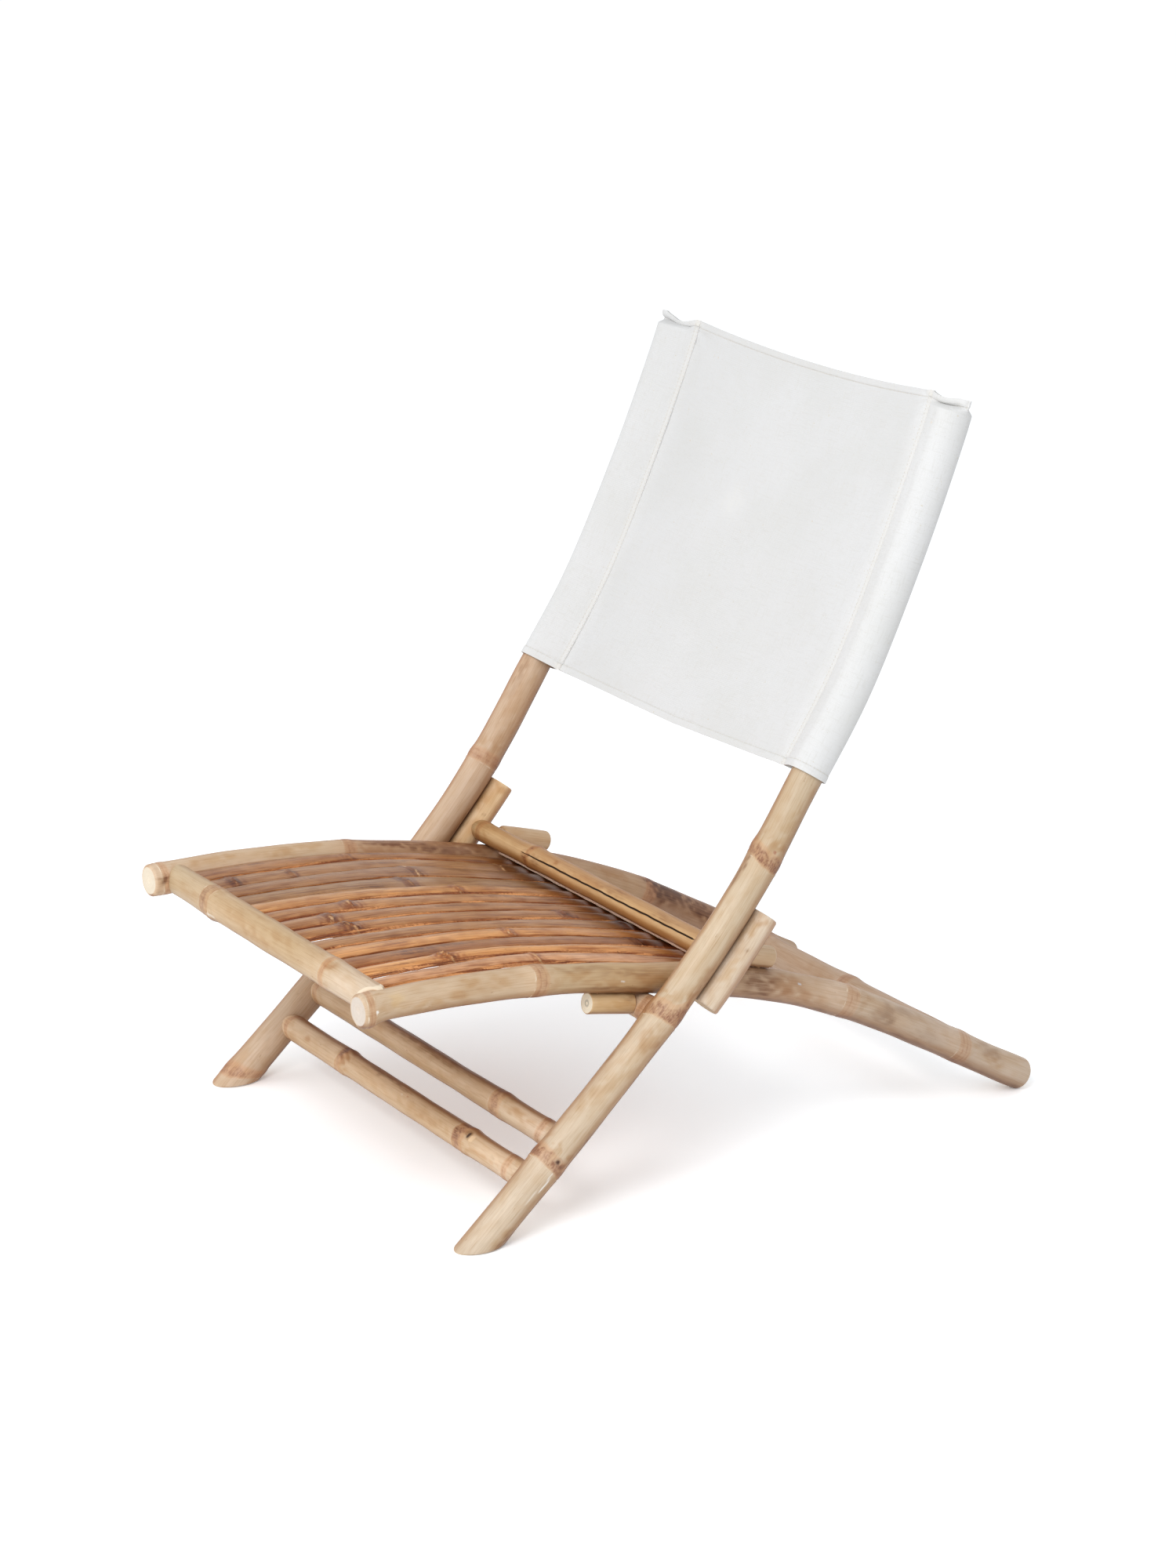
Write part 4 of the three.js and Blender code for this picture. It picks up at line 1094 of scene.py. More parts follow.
# Slats: x of the skin's far and near edges where these distances along the rail are reached,
# then the colour, the lift of the whole slat, and the knots (distance, kind).
SLAT_AT = (50, 88, 138, 188, 238, 288, 338, 388, 438)
SLATS = (
    ((-202.0, -202.0, -202.0, -202.0, -202.0, -202.0, -201.1, -199.8, -198.3),
     (-171.3, -172.0, -176.3, -180.6, -182.5, -182.3, -178.2, -174.9, -172.9),
     (162, 120, 82), 0.2, ((223, "pale"),)),
    ((-168.1, -167.8, -168.7, -171.4, -176.0, -178.0, -173.9, -171.0, -169.6),
     (-138.4, -138.3, -138.6, -141.7, -148.0, -151.2, -143.7, -140.8, -138.8),
     (161, 123, 87), 0.0, ((61, "scar"), (130, "dot"), (403, "pale"))),
    ((-136.8, -136.6, -137.1, -140.4, -145.9, -149.7, -142.5, -139.2, -137.2),
     (-108.6, -107.8, -107.6, -110.1, -114.1, -112.3, -109.6, -107.4, -106.1),
     (154, 115, 80), 0.4, ((270, "node"),)),
    ((-106.7, -105.7, -105.1, -107.6, -110.1, -109.3, -107.4, -105.3, -103.8),
     (-78.0, -77.4, -76.7, -74.7, -73.8, -74.3, -71.6, -69.6, -68.5),
     (154, 119, 83), -0.3, ((241, "dark"),)),
    ((-76.2, -75.9, -75.4, -72.8, -71.4, -72.9, -71.0, -69.0, -67.8),
     (-51.8, -50.6, -50.6, -50.6, -51.2, -53.5, -52.6, -49.8, -48.0),
     (193, 148, 101), 0.5, ((286, "node"),)),
    ((-46.8, -45.8, -45.7, -40.3, -40.5, -42.7, -41.0, -38.2, -36.5),
     (-23.9, -23.5, -22.3, -17.5, -16.4, -18.8, -19.0, -17.0, -16.0),
     (176, 134, 95), 0.1, ((136, "raised"),)),
    ((-15.2, -15.0, -9.7, -8.3, -8.9, -10.0, -10.1, -9.7, -8.7),
     (7.5, 8.9, 12.3, 13.8, 14.6, 13.9, 12.9, 12.8, 13.7),
     (170, 129, 92), 0.2, ((94, "raised"),)),
    ((16.4, 16.9, 18.7, 20.8, 20.7, 19.9, 17.8, 15.0, 17.0),
     (37.4, 38.6, 42.4, 45.3, 46.8, 43.6, 38.2, 38.6, 40.2),
     (167, 124, 83), 0.0, ((99, "splinter"), (368, "dark"))),
    ((53.8, 55.5, 55.8, 55.9, 55.4, 53.1, 51.0, 48.2, 46.8),
     (74.9, 76.9, 77.9, 77.9, 77.0, 76.2, 76.5, 75.6, 74.8),
     (170, 132, 98), 0.2, ((427, "dark"),)),
    ((83.6, 84.4, 85.2, 84.1, 82.4, 82.0, 82.3, 82.9, 84.8),
     (110.1, 111.1, 111.1, 109.5, 105.4, 106.1, 106.2, 108.2, 108.9),
     (204, 155, 103), 0.3, ((253, "node"),)),
    ((112.3, 113.1, 113.4, 112.3, 110.1, 110.2, 109.9, 109.7, 109.5),
     (136.3, 138.9, 139.2, 138.8, 136.7, 135.9, 134.8, 132.6, 131.0),
     (156, 110, 70), -0.6, ((401, "dark"),)),
    ((146.4, 146.4, 143.6, 142.4, 144.2, 144.1, 144.5, 147.9, 150.5),
     (165.3, 163.5, 160.2, 158.0, 159.9, 159.1, 158.8, 165.3, 169.6),
     (214, 166, 115), 0.6, ((142, "splinter"),)),
    ((178.9, 177.4, 174.1, 169.8, 166.7, 169.4, 171.1, 176.6, 180.2),
     (198.6, 198.7, 196.0, 188.4, 187.0, 196.2, 200.3, 201.5, 202.0),
     (201, 159, 126), 0.0, ((234, "node"),)),
)
SLAT_FRONT, SLAT_REAR = 34.4, 486.0
SLAT_RAISE, SEAT_NEAR = 7.0, 203.2
COVER_AT, COVER_RAISE, BATTEN_LOW = 470.0, 14.3, 1.8
# Across each slat: a warmer near side, and a paler, cooler far side that is a painted sheen.
NEAR_TINT, FAR_SHEEN_TINT = (1.14, 0.98, 0.78), (1.05, 1.01, 0.97)
# A painted shadow over the slats' rear ends: its tint, where it starts on the far and the near side, and
# where it is full.
REAR_SHADOW_TINT, REAR_SHADOW_FROM, REAR_SHADOW_TO = (0.34, 0.22, 0.14), (338, 325), 462
# Each kind of knot: its form, and how strong its painted highlight along the crest (pale), its painted shadow
# on both sides (shadow) and the brown pad around it are
KNOTS = {
    kind: dict(zip(("rise", "half", "ridge", "pinch", "rough", "slant", "pale", "shadow", "pad"), values))
    for kind, values in {
        "node": (1.0, 3.6, 0.4, 1.4, 0.1, 5, 0.8, 0.5, 0.5),
        "pale": (0.5, 4, 0.3, 0.8, 0.0, 3, 0.8, 0.3, 0.3),
        "raised": (1.9, 5.5, 0.6, 3.0, 0.4, -4, 0.7, 0.8, 0.6),
        "dark": (1.0, 4, 0.5, 1.6, 0.5, 6, 0.3, 0.9, 0.9),
        "splinter": (1.7, 7, 0.6, 2.0, 1.4, 8, 0.7, 0.9, 0.5),
        "scar": (1.0, 4, 0.5, 0.6, 0.6, -3, 0.4, 0.9, 0.7),
        "dot": (0.7, 3, 0.2, 0.2, 0.3, 0, 0.3, 0.7, 0.4),
    }.items()
}
# Smudges on the slats: slat, distance, share of the width, length, width, strength.
SMUDGES = (
    (11, 150, 0.45, 90, 9, 0.8), (11, 120, 0.7, 60, 5, 0.8), (4, 120, 0.86, 60, 4, 0.8),
    (4, 190, 0.88, 40, 4, 0.7), (3, 135, 0.5, 26, 6, 0.8), (8, 84, 0.5, 44, 8, 0.8),
    (8, 130, 0.3, 60, 5, 0.7), (10, 300, 0.3, 80, 6, 0.5), (5, 330, 0.5, 90, 8, 0.5),
    (1, 90, 0.4, 70, 8, 0.5), (6, 330, 0.5, 80, 8, 0.6), (7, 230, 0.6, 90, 6, 0.5),
    (9, 180, 0.4, 80, 5, 0.5), (12, 280, 0.4, 80, 5, 0.6), (13, 150, 0.3, 60, 6, 0.5),
    (2, 260, 0.6, 80, 6, 0.6), (1, 250, 0.6, 90, 7, 0.6), (3, 360, 0.5, 80, 10, 0.6),
    (12, 90, 0.7, 30, 5, 0.7), (10, 110, 0.6, 40, 5, 0.5),
)


def smoothed(at, values, s, blur=9.0):
    """Values between given ones, with the corners rounded."""
    line = np.interp(s, at, values)
    step = s[1] - s[0]
    k = int(3 * blur / step)
    kernel = np.exp(-((np.arange(-k, k + 1) * step / blur) ** 2) / 2)
    padded = np.concatenate([np.full(k, line[0]), line, np.full(k, line[-1])])
    return np.convolve(padded, kernel / kernel.sum(), "valid")


def knot_bend(knot, at, u):
    """How far a knot strays along the strip, over the strip's width."""
    return 0.7 * np.sin(u * 3.1 + at) + 0.4 * np.sin(u * 11 + at) + knot["slant"] * (u - 0.5)


# How high a strip's edges lie over its seat
EDGE = 1.5


def strip_edges(s, far, near, knots, seed):
    """A strip's two edges, pinched at the knots and a little ragged."""
    pinch = sum((KNOTS[kind]["pinch"] * hump(s - at, 9) for at, kind in knots), np.zeros(len(s)))
    nick = 0.35 * np.abs(waves(seed + 3, s, (11, 7, 4.3), 1.0)) + 0.3 * waves(seed + 4, s, (37, 19), 1.0)
    return far - 0.75 * pinch + nick * 0.5, near + 0.45 * pinch - nick * 0.6


def strip_section(s, far, near, far_bevel, near_bevel, lift, knots, seed, crown, thick):
    """Lines along a strip, side by side around it: how far across, how high and how raw each is."""
    rng = np.random.default_rng(seed)
    n = len(s)
    height_far = EDGE + lift + waves(seed + 1, s, (160, 70, 33), 0.25)
    height_near = EDGE + lift + waves(seed + 2, s, (150, 60, 29), 0.25)
    base_far, base_near = -thick + height_far + 0.1, -thick + height_near + 0.1
    lines = [(far - far_bevel + 0.6, base_far - 0.1, 0.9)]
    for k in (0.0, 0.4, 0.75):
        height = base_far + (height_far - base_far) * (0.12 + 0.88 * k) + 0.15 * rng.standard_normal(n)
        lines.append((far - far_bevel * (1 - k), height, 1.0))
    for u in np.linspace(0, 1, 15):
        rise, bump = crown * (1 - (2 * u - 1) ** 2), np.zeros(n)
        body_share = 0.35 + 0.65 * np.sin(np.pi * np.clip(u, 0.04, 0.96))
        for at, kind in knots:
            knot = KNOTS[kind]
            d = s - at - knot_bend(knot, at, u)
            body = hump(d, knot["half"])
            bump += body_share * (knot["rise"] * body + knot["ridge"] * hump(d - 1.2, 1.1))
            grain = rng.standard_normal(n) * 0.7 + waves(seed + int(u * 90), s, (3.1, 2.1), 0.8)
            bump += knot["rough"] * body * 0.5 * grain
        across = far + (near - far) * u + waves(seed + 20, s, (90, 41), 0.15)
        lines.append((across, height_far * (1 - u) + height_near * u + rise + bump, 0.0))
    for k in (0.25, 0.6, 1.0):
        jag = 0.22 * rng.standard_normal(n) + 0.25 * waves(seed + 30 + int(k * 10), s, (23, 9, 5), 1.0)
        height = height_near + (base_near - height_near) * (k**0.8) * 0.9 + jag
        lines.append((near + near_bevel * k, height, 1.0))
    lines.append((near + near_bevel - 0.5, base_near - 0.1, 0.9))
    for u in (0.85, 0.65, 0.5, 0.35, 0.15):
        hollow = -thick + lift + 1.6 + 1.6 * (1 - (2 * u - 1) ** 2)
        lines.append((far + (near - far) * u, hollow, 0.6))
    return (np.stack([np.zeros(n) + line[k] for line in lines], 1) for k in range(3))


def strip_skin(ss, across, height, raw, far, near, lift, tone, knots, seed, looks):
    """A strip's colour and marks, its painted shade and smudges, and its rawness with the knots'."""
    shape = across.shape
    width = (near - far)[:, None]
    u = np.clip((across - far[:, None]) / width, -0.2, 1.2)
    mark = np.zeros(shape + (4,))
    cloudy = mottle(seed + 50, ss, 2.2 * u, (150, 84, 47, 26), (1, 2, 3))
    fine = mottle(seed + 60, ss, 2.2 * u, (13, 8, 5.5), (1, 2, 4, 6))
    side = np.clip(u, 0, 1)[..., None]
    colour = linear(tone) * np.ones(shape + (3,))
    # From the painted sheen of the far side to the warmer near side.
    colour = colour * (np.asarray(FAR_SHEEN_TINT) * (1 - side) + np.asarray(NEAR_TINT) * side)
    colour = colour * stain(0.55 * ease(cloudy / 1.6), (0.80, 0.66, 0.50))
    colour = colour * stain(0.5 * ease((-cloudy - 0.2) / 1.4), (1.12, 1.10, 1.06))
    # The painted shadow towards the cover strip.
    if "darkening" in looks:
        colour = colour * stain(ease(looks["darkening"](ss, across)), REAR_SHADOW_TINT)
    # Painted shade: the lower a point lies on the raw sides, the darker, as in the gaps between slats; deep
    # sets how strong.
    grime = looks.get("deep", 1.0) * ease((EDGE + lift - height) / 2.0)
    for at, kind in knots:
        knot = KNOTS[kind]
        d = ss - at - knot_bend(knot, at, u)
        broken = np.clip(0.55 + 0.5 * fine + 0.35 * np.sin(u * 9 + at), 0, 1)
        # A painted highlight along the knot's crest.
        lay(mark, (214, 170, 122), 0.85 * knot["pale"] * broken * hump(d + 0.8, 3.0))
        pad = knot["pad"] * 1.8 * (1 + 0.4 * fine) * hump(d, knot["half"] * 2.6)
        colour = colour * stain(ease(pad), (0.58, 0.39, 0.25))
        # Painted shadow on both sides of the knot's ridge.
        grime = np.maximum(grime, knot["shadow"] * (1.2 - 0.5 * broken) * hump(d - 3.2, 3.0))
        grime = np.maximum(grime, 0.8 * knot["shadow"] * hump(d + 4.6, 2.4) * (1 - 0.4 * broken))
        raw = raw + hump(d, knot["half"]) * knot["rough"] * 0.4 * broken
    if "front" in looks:
        lay(mark, looks["front"], ease((u - 0.97) / 0.03))
    for at, share, length, broad, strength in looks.get("smudges", ()):
        away = (u - share) * width
        blob = np.exp(-(((ss - at) / (length / 2)) ** 2) - (away / (broad / 2)) ** 2)
        grime = np.maximum(grime, strength * ease(blob * (1 + 0.3 * fine + 0.25 * cloudy) * 1.1))
    return np.concatenate([colour, np.ones(shape + (1,))], -1), mark, grime, np.clip(raw, 0, 1)


def strip(name, stands, place, s, edges, bevels, lift, tone, knots, seed, crown=2.5, thick=4.0, **looks):
    """A split strip with a crowned skin, raw bevelled sides and a hollow back.

    place(s, across, height) sets a point.
    """
    far, near = strip_edges(s, *edges, knots, seed)
    across, height, raw = strip_section(s, far, near, *bevels, lift, knots, seed, crown, thick)
    n, cols = across.shape
    ss = np.repeat(s[:, None], cols, 1)
    colour, mark, grime, raw = strip_skin(ss, across, height, raw, far, near, lift, tone, knots, seed, looks)
    point = place(ss, across, height)
    index, quads = around(n, cols)
    points, tris = [point.reshape(-1, 3)], []
    for k, row in enumerate((0, n - 1)):
        points.append(point[row].mean(0)[None])
        fan = np.stack([index[row], np.roll(index[row], -1), np.full(cols, n * cols + k)], -1)
        tris.append(fan[:, :: (1 if row else -1)])
    places = np.stack([across, ss + 900.0 * seed, height], -1) * MM
    layers = {}
    for label, v in {"culm": places, "tone": colour, "mark": mark, "raw": raw, "grime": grime}.items():
        values = v.reshape(n * cols, -1)
        layers[label] = np.vstack([values, values[:1], values[:1]])
    return build(
        name, np.vstack(points), quads, np.vstack(tris), layers, SPLIT, "seat_frame", stands,
        sharp=38,
    )


def on_seat(s, across, height):
    """Points on the seat: s along the rails, x across, and a height over the rails."""
    p, _, _, up = SEAT.at(s)
    point = p + up * (height + SLAT_RAISE)[..., None]
    point[..., 0] = across
    return point


def add_slats():
    """The split strips of the seat, under a painted shadow that darkens them towards the cover strip."""
    s = np.unique(np.concatenate([np.arange(SLAT_FRONT, SLAT_REAR, 1.5), [SLAT_REAR]]))
    at = (SLAT_FRONT, *SLAT_AT, SLAT_REAR)
    spread = lambda row: smoothed(at, (row[0], *row, row[-1]), s)
    far, near = [spread(row[0]) for row in SLATS], [spread(row[1]) for row in SLATS]

    def darkening(s, x):
        start = np.interp(x, (-200, 200), REAR_SHADOW_FROM)
        return (s - start) / (REAR_SHADOW_TO - start)

    for i, (_, _, tone, lift, knots) in enumerate(SLATS):
        name = f"seat_slat_{i + 1:02d}"
        ahead = (far[i + 1] if i + 1 < len(SLATS) else SEAT_NEAR) - near[i]
        far_bevel = np.clip((far[i] - near[i - 1] - 1.6) / 2, 0.25, 4.0) if i else np.full(len(s), 1.4)
        near_bevel = np.clip((ahead - 1.6) / 2, 0.25, 6.0)
        strip(
            f"strip_{name}", [name], on_seat, s, (far[i], near[i]), (far_bevel, near_bevel), lift, tone,
            knots, 70 + i, darkening=darkening, smudges=[row[1:] for row in SMUDGES if row[0] == i + 1],
        )


def add_cover():
    """The strip over the rear ends of the slats."""
    p, along, _, up = (v[0] for v in SEAT.at(np.array([COVER_AT])))
    x = np.arange(-RAIL_IN - 9.5, RAIL_IN + 9.6, 1.6)

    def place(s, across, height):
        point = p + along * (-across)[..., None] + up * (height + COVER_RAISE)[..., None]
        point[..., 0] = s
        return point

    wander = waves(5, x, (60, 27, 13), 0.5)
    edges = np.full(len(x), -15.0) + wander, np.full(len(x), 31.2) + wander * 0.8
    bevels = np.full(len(x), 0.8), np.full(len(x), 2.4)
    strip(
        "strip_slat_cover", ["slat_cover_strip"], place, x, edges, bevels, 0.0, (208, 166, 128),
        ((-90, "node"), (120, "node")), 95, crown=1.5, thick=4.3, deep=0.0, front=(255, 226, 204),
    )


def add_battens():
    """The two round sticks under the slats, let into the rails."""
    half = RAIL_IN + 8.64
    for name, at, seed in (("middle", 240.0, 96), ("rear", 470.0, 97)):
        q, _, _, n = (v[0] for v in SEAT.at(np.array([at])))
        _, y, z = q - n * BATTEN_LOW
        Culm(
            f"culm_slat_batten_{name}", Bar(y, z), -half, half, BATTEN_R, "seat_frame",
            [f"slat_batten_{name}"], seed=seed, sides=28, rims=(0.8, 0.8), tone=[(0, (186, 146, 104))],
            oval=0.004,
        ).make()


# The canvas sling
CLOTH, SLING_LOW, SEAM, SLEEVE_EASE = 1.1, 612.5, 39.7, 1.6
HEM_LOW, HEM_TOP, SLING_FLAT = 8.2, 7.8, (0.751, 0.455)
DROOP_LOW, DROOP_TOP, SAG_LOW, SAG_TOP = -1.5, 9.0, 12.0, 10.0
SLING_TOP = POLE[0].length


def sling_material():
    """Natural canvas: plain weave, slubs and faint flecks, a little creamier along the seams."""
    n = Nodes("canvas")
    place = n.attribute("cloth")
    warp = n.new("TexWave", wave_type="BANDS", bands_direction="X", wave_profile="SIN")
    weft = n.new("TexWave", wave_type="BANDS", bands_direction="Y", wave_profile="SIN")
    for wave, scale in ((warp, 170.0), (weft, 150.0)):
        n.put(wave.inputs["Vector"], place)
        wave.inputs["Scale"].default_value = scale
        wave.inputs["Distortion"].default_value = 1.2
        wave.inputs["Detail"].default_value = 2
        wave.inputs["Detail Scale"].default_value = 6
    weave = n.math("MAXIMUM", warp.outputs["Fac"], weft.outputs["Fac"])
    slub, slub_across = (n.noise(n.scaled(place, way), 420, 3, 0.6) for way in ((1, 0.12, 1), (0.12, 1, 1)))
    cloud, fleck, spot = n.noise(place, 9, 3, 0.55), n.noise(place, 240, 2, 0.5), n.noise(place, 700, 1, 0.5)
    colour = n.mix(n.range(cloud, 0.35, 0.68), linear((223, 223, 223)), linear((220, 220, 219)))
    # The shade layer multiplies in painted shade and light.
    colour = n.mix(1.0, colour, n.attribute("shade", "Color"), "MULTIPLY")
    colour = n.mix(n.range(slub, 0.5, 0.75, 0, 0.35), colour, linear((210, 208, 202)))
    colour = n.mix(n.range(slub_across, 0.5, 0.75, 0, 0.35), colour, linear((210, 208, 203)))
    colour = n.mix(n.range(fleck, 0.71, 0.77, 0, 0.55), colour, linear((206, 192, 164)))
    colour = n.mix(n.product(n.range(spot, 0.72, 0.78), 0.4), colour, linear((176, 156, 122)))
    ragged = n.ragged(n.attribute("mark", "Alpha"), (slub, 0.5))
    colour = n.mix(n.product(n.range(ragged, 0.1, 0.9), 0.9), colour, n.attribute("mark", "Color"))
    height = n.math("ADD", n.product(weave, 0.7), n.math("ADD", slub, slub_across))
    return n.finish(
        colour, n.range(slub, 0.3, 0.7, 0.88, 0.96), n.bump(height, 0.00022, 0.5), Specular_IOR_Level=0.2,
        Sheen_Weight=0.08, Sheen_Roughness=0.5,
    )


def thread_material():
    """The sewing thread: a little darker than the canvas."""
    n = Nodes("thread")
    twist = n.noise(n.new("TexCoord").outputs["Object"], 2400, 2, 0.5)
    colour = n.mix(n.range(twist, 0.4, 0.65), linear((222, 216, 206)), linear((204, 196, 180)))
    rough = n.range(twist, 0.3, 0.7, 0.8, 0.9)
    return n.finish(colour, rough, n.bump(twist, 0.0002, 0.4), Specular_IOR_Level=0.25)


CANVAS, THREAD = sling_material(), thread_material()


def sling_line(d):
    """The cloth's middle line across the chair at one distance up the pole, as x and height.

    The count of points in each sleeve comes with it, and how far the sleeve is closed there.
    """
    pole_x = float(POLE[1].at(np.array(d))[0][0])
    share = (d - SLING_LOW) / (SLING_TOP - SLING_LOW)
    closing = float(ease((d - (POLE_LENGTH - 1)) / 9))
    radius = float(pole_radius(min(d, POLE_LENGTH))) + SLEEVE_EASE + CLOTH / 2 + 0.1
    wide = radius + 2.6 * closing
    deep = radius * (1 - closing) + 0.75 * closing
    open_angle = np.arccos(min(wide / SEAM, 1))
    seam_x = pole_x - SEAM
    sag = SAG_LOW + (SAG_TOP - SAG_LOW) * share
    turn = np.linspace(-(np.pi - open_angle), np.pi - open_angle, 34)
    arc = np.stack([pole_x + wide * np.cos(turn), deep * np.sin(turn)], 1)
    lead = np.linspace(0, 1, 9)[1:-1, None]
    back_start, front_end = np.array([seam_x, -0.65]), np.array([seam_x, 0.75])
    back = back_start + (arc[0] - back_start) * lead
    front = arc[-1] + (front_end - arc[-1]) * lead
    slack = np.sin(np.pi * lead[:, 0]) * (1 - closing)
    back[:, 1] -= 0.5 * slack
    front[:, 1] += 0.9 * slack
    lap_x = seam_x - np.array([0, 1.5, 3.0, 4.5, 6.0, 6.9])
    panel_height = lambda x: -sag * (1 - (x / seam_x) ** 2) - 0.65
    lap = np.stack([lap_x, panel_height(lap_x) + 0.7], 1)
    right = np.vstack([back_start, back, arc, front, lap])
    half = np.linspace(-1, 1, 151)[1:-1] * seam_x
    panel = np.stack([half, panel_height(half)], 1)
    left = right[::-1] * [-1, 1]
    return np.vstack([left, panel, right]), len(right), closing


def on_back(x, d, height):
    """Points at x across, d up the middle route and a height in front of it."""
    p, _, _, up = POLE[0].at(d)
    point = p + up * np.asarray(height)[..., None]
    point[..., 0] = x
    return point


def sleeve_share(x, side, d):
    """From 0 at a sleeve's seam to 1 at its outer side."""
    pole_x = np.abs(POLE[1].at(d)[0][..., 0])
    return np.clip((side * x - (pole_x - SEAM)) / (SEAM + 19), 0, 1)


def shape_flap(x, h, d, closing):
    """Each sleeve's sewn flat top: a crease under it, a lean forward, and a dip between seam and corner."""
    drop = np.zeros_like(h)
    for side, lean, corner, dip in ((1, 6.0, 1.5, 3.4), (-1, 2.5, 7.0, 6.6)):
        u = sleeve_share(x, side, d) * (side * x > 0)
        middle = np.sin(np.pi * np.clip(u, 0, 1)) ** 0.8
        crease = -4.5 * hump(d - (POLE_LENGTH + 4), 3.6) * middle
        rise = lean * middle + corner * ease((u - 0.62) / 0.3) * (u < 0.999)
        rise = rise * ease((d - POLE_LENGTH - 3) / 9)
        h = h + closing * (crease + rise * (u > 0))
        hollow = np.sin(np.pi * np.clip(u / 0.86, 0, 1))
        drop = drop + closing * dip * hollow * ease((d - POLE_LENGTH - 1) / 12)
    return h, drop


def sling_levels():
    """Distances up the poles, close together at the closed tops and at the stitches of the hems."""
    d = [np.arange(SLING_LOW, 1018, 3.0), np.arange(1018, SLING_TOP - 0.4, 1.0), [SLING_TOP - 0.2]]
    d += [SLING_LOW + np.array([0.8, 7.6, HEM_LOW, 8.8]), SLING_TOP - np.array([7.2, HEM_TOP, 8.4])]
    return np.unique(np.round(np.concatenate(d), 2))


def sling_folds(x, dd, up_share):
    """Soft folds over the panel, and puckers at its corners."""
    calm = np.clip(1 - np.abs(x) / 222, 0, 1)
    folds = 1.3 * waves(301, x + 0.35 * dd, (210, 130), 1.0) * np.sin(np.pi * np.clip(up_share, 0, 1))
    folds = (folds + 0.45 * waves(302, 0.5 * x - dd, (95, 61), 1.0)) * ease(calm * 6)
    for side, seed in ((1, 303), (-1, 304)):
        inward, down, rise = 214 - side * x, SLING_TOP - 10 - dd, dd - SLING_LOW
        corner, low = np.hypot(inward, down * 0.9), np.hypot(inward, (rise - 8) * 0.9)
        top_fan = np.sin(np.arctan2(down, inward) * 7 + seed)
        low_fan = np.sin(np.arctan2(rise, inward) * 6 + seed)
        folds = folds + 0.9 * top_fan * hump(corner - 16, 22) * ease(corner / 8)
        folds = folds + 0.5 * low_fan * hump(low - 18, 24)
    return folds


def sheet_faces(rows, count):
    """The faces of a thin sheet: its front, its back and its four rims."""
    front = np.arange(rows * count).reshape(rows, count)
    back = front + rows * count
    cell = lambda a: np.stack([a[:-1, :-1], a[:-1, 1:], a[1:, 1:], a[1:, :-1]], -1).reshape(-1, 4)
    quads = [cell(front), cell(back)[:, ::-1]]
    for rim, turned in ((np.s_[0], True), (np.s_[-1], False), (np.s_[:, 0], False), (np.s_[:, -1], True)):
        ring, other = front[rim], back[rim]
        edge = np.stack([ring[:-1], ring[1:], other[1:], other[:-1]], -1)
        quads.append(edge[:, ::-1] if turned else edge)
    return np.vstack(quads)


def sling_colours(x, dd, up_share, seam_x, hem, groove):
    """The cloth's marks, and the painted shade and light over the sleeves and the panel."""
    mark = np.zeros(x.shape + (4,))
    mark[..., :3] = linear((226, 223, 217))
    seam_strip = hump(np.abs(np.abs(x) - seam_x + 3), 5)
    mark[..., 3] = np.clip(0.45 * seam_strip + 0.25 * hem, 0, 0.7)
    lay(mark, (232, 206, 172), 0.8 * hump(np.hypot(x - 246, dd - 1012), 2.6), 0.2)
    lay(mark, (230, 229, 225), 0.4 * hump(np.hypot(x + 60, dd - 868), 26.0), 0.2)
    # A grey line along each hem's groove: painted shadow.
    lay(mark, (196, 193, 187), 0.45 * groove, 0.09)
    # Painted shade and light: the far sleeve and the panel darker towards the top, and the near sleeve a
    # little lighter.
    shade = np.interp(x, (-250, -200, -60, 60, 185, 215), (0.96, 0.96, 1, 1, 1.0, 1.03))
    on_far, on_near = np.interp(x, (-215, -195), (1, 0)), np.interp(x, (190, 210), (0, 1))
    panel = (1 - on_far - on_near) * (0.985 - 0.04 * up_share)
    shade = shade * (on_far * (1.05 - 0.065 * up_share) + on_near * 1.01 + panel)
    return mark, np.stack([shade, shade, shade, np.ones_like(shade)], -1)


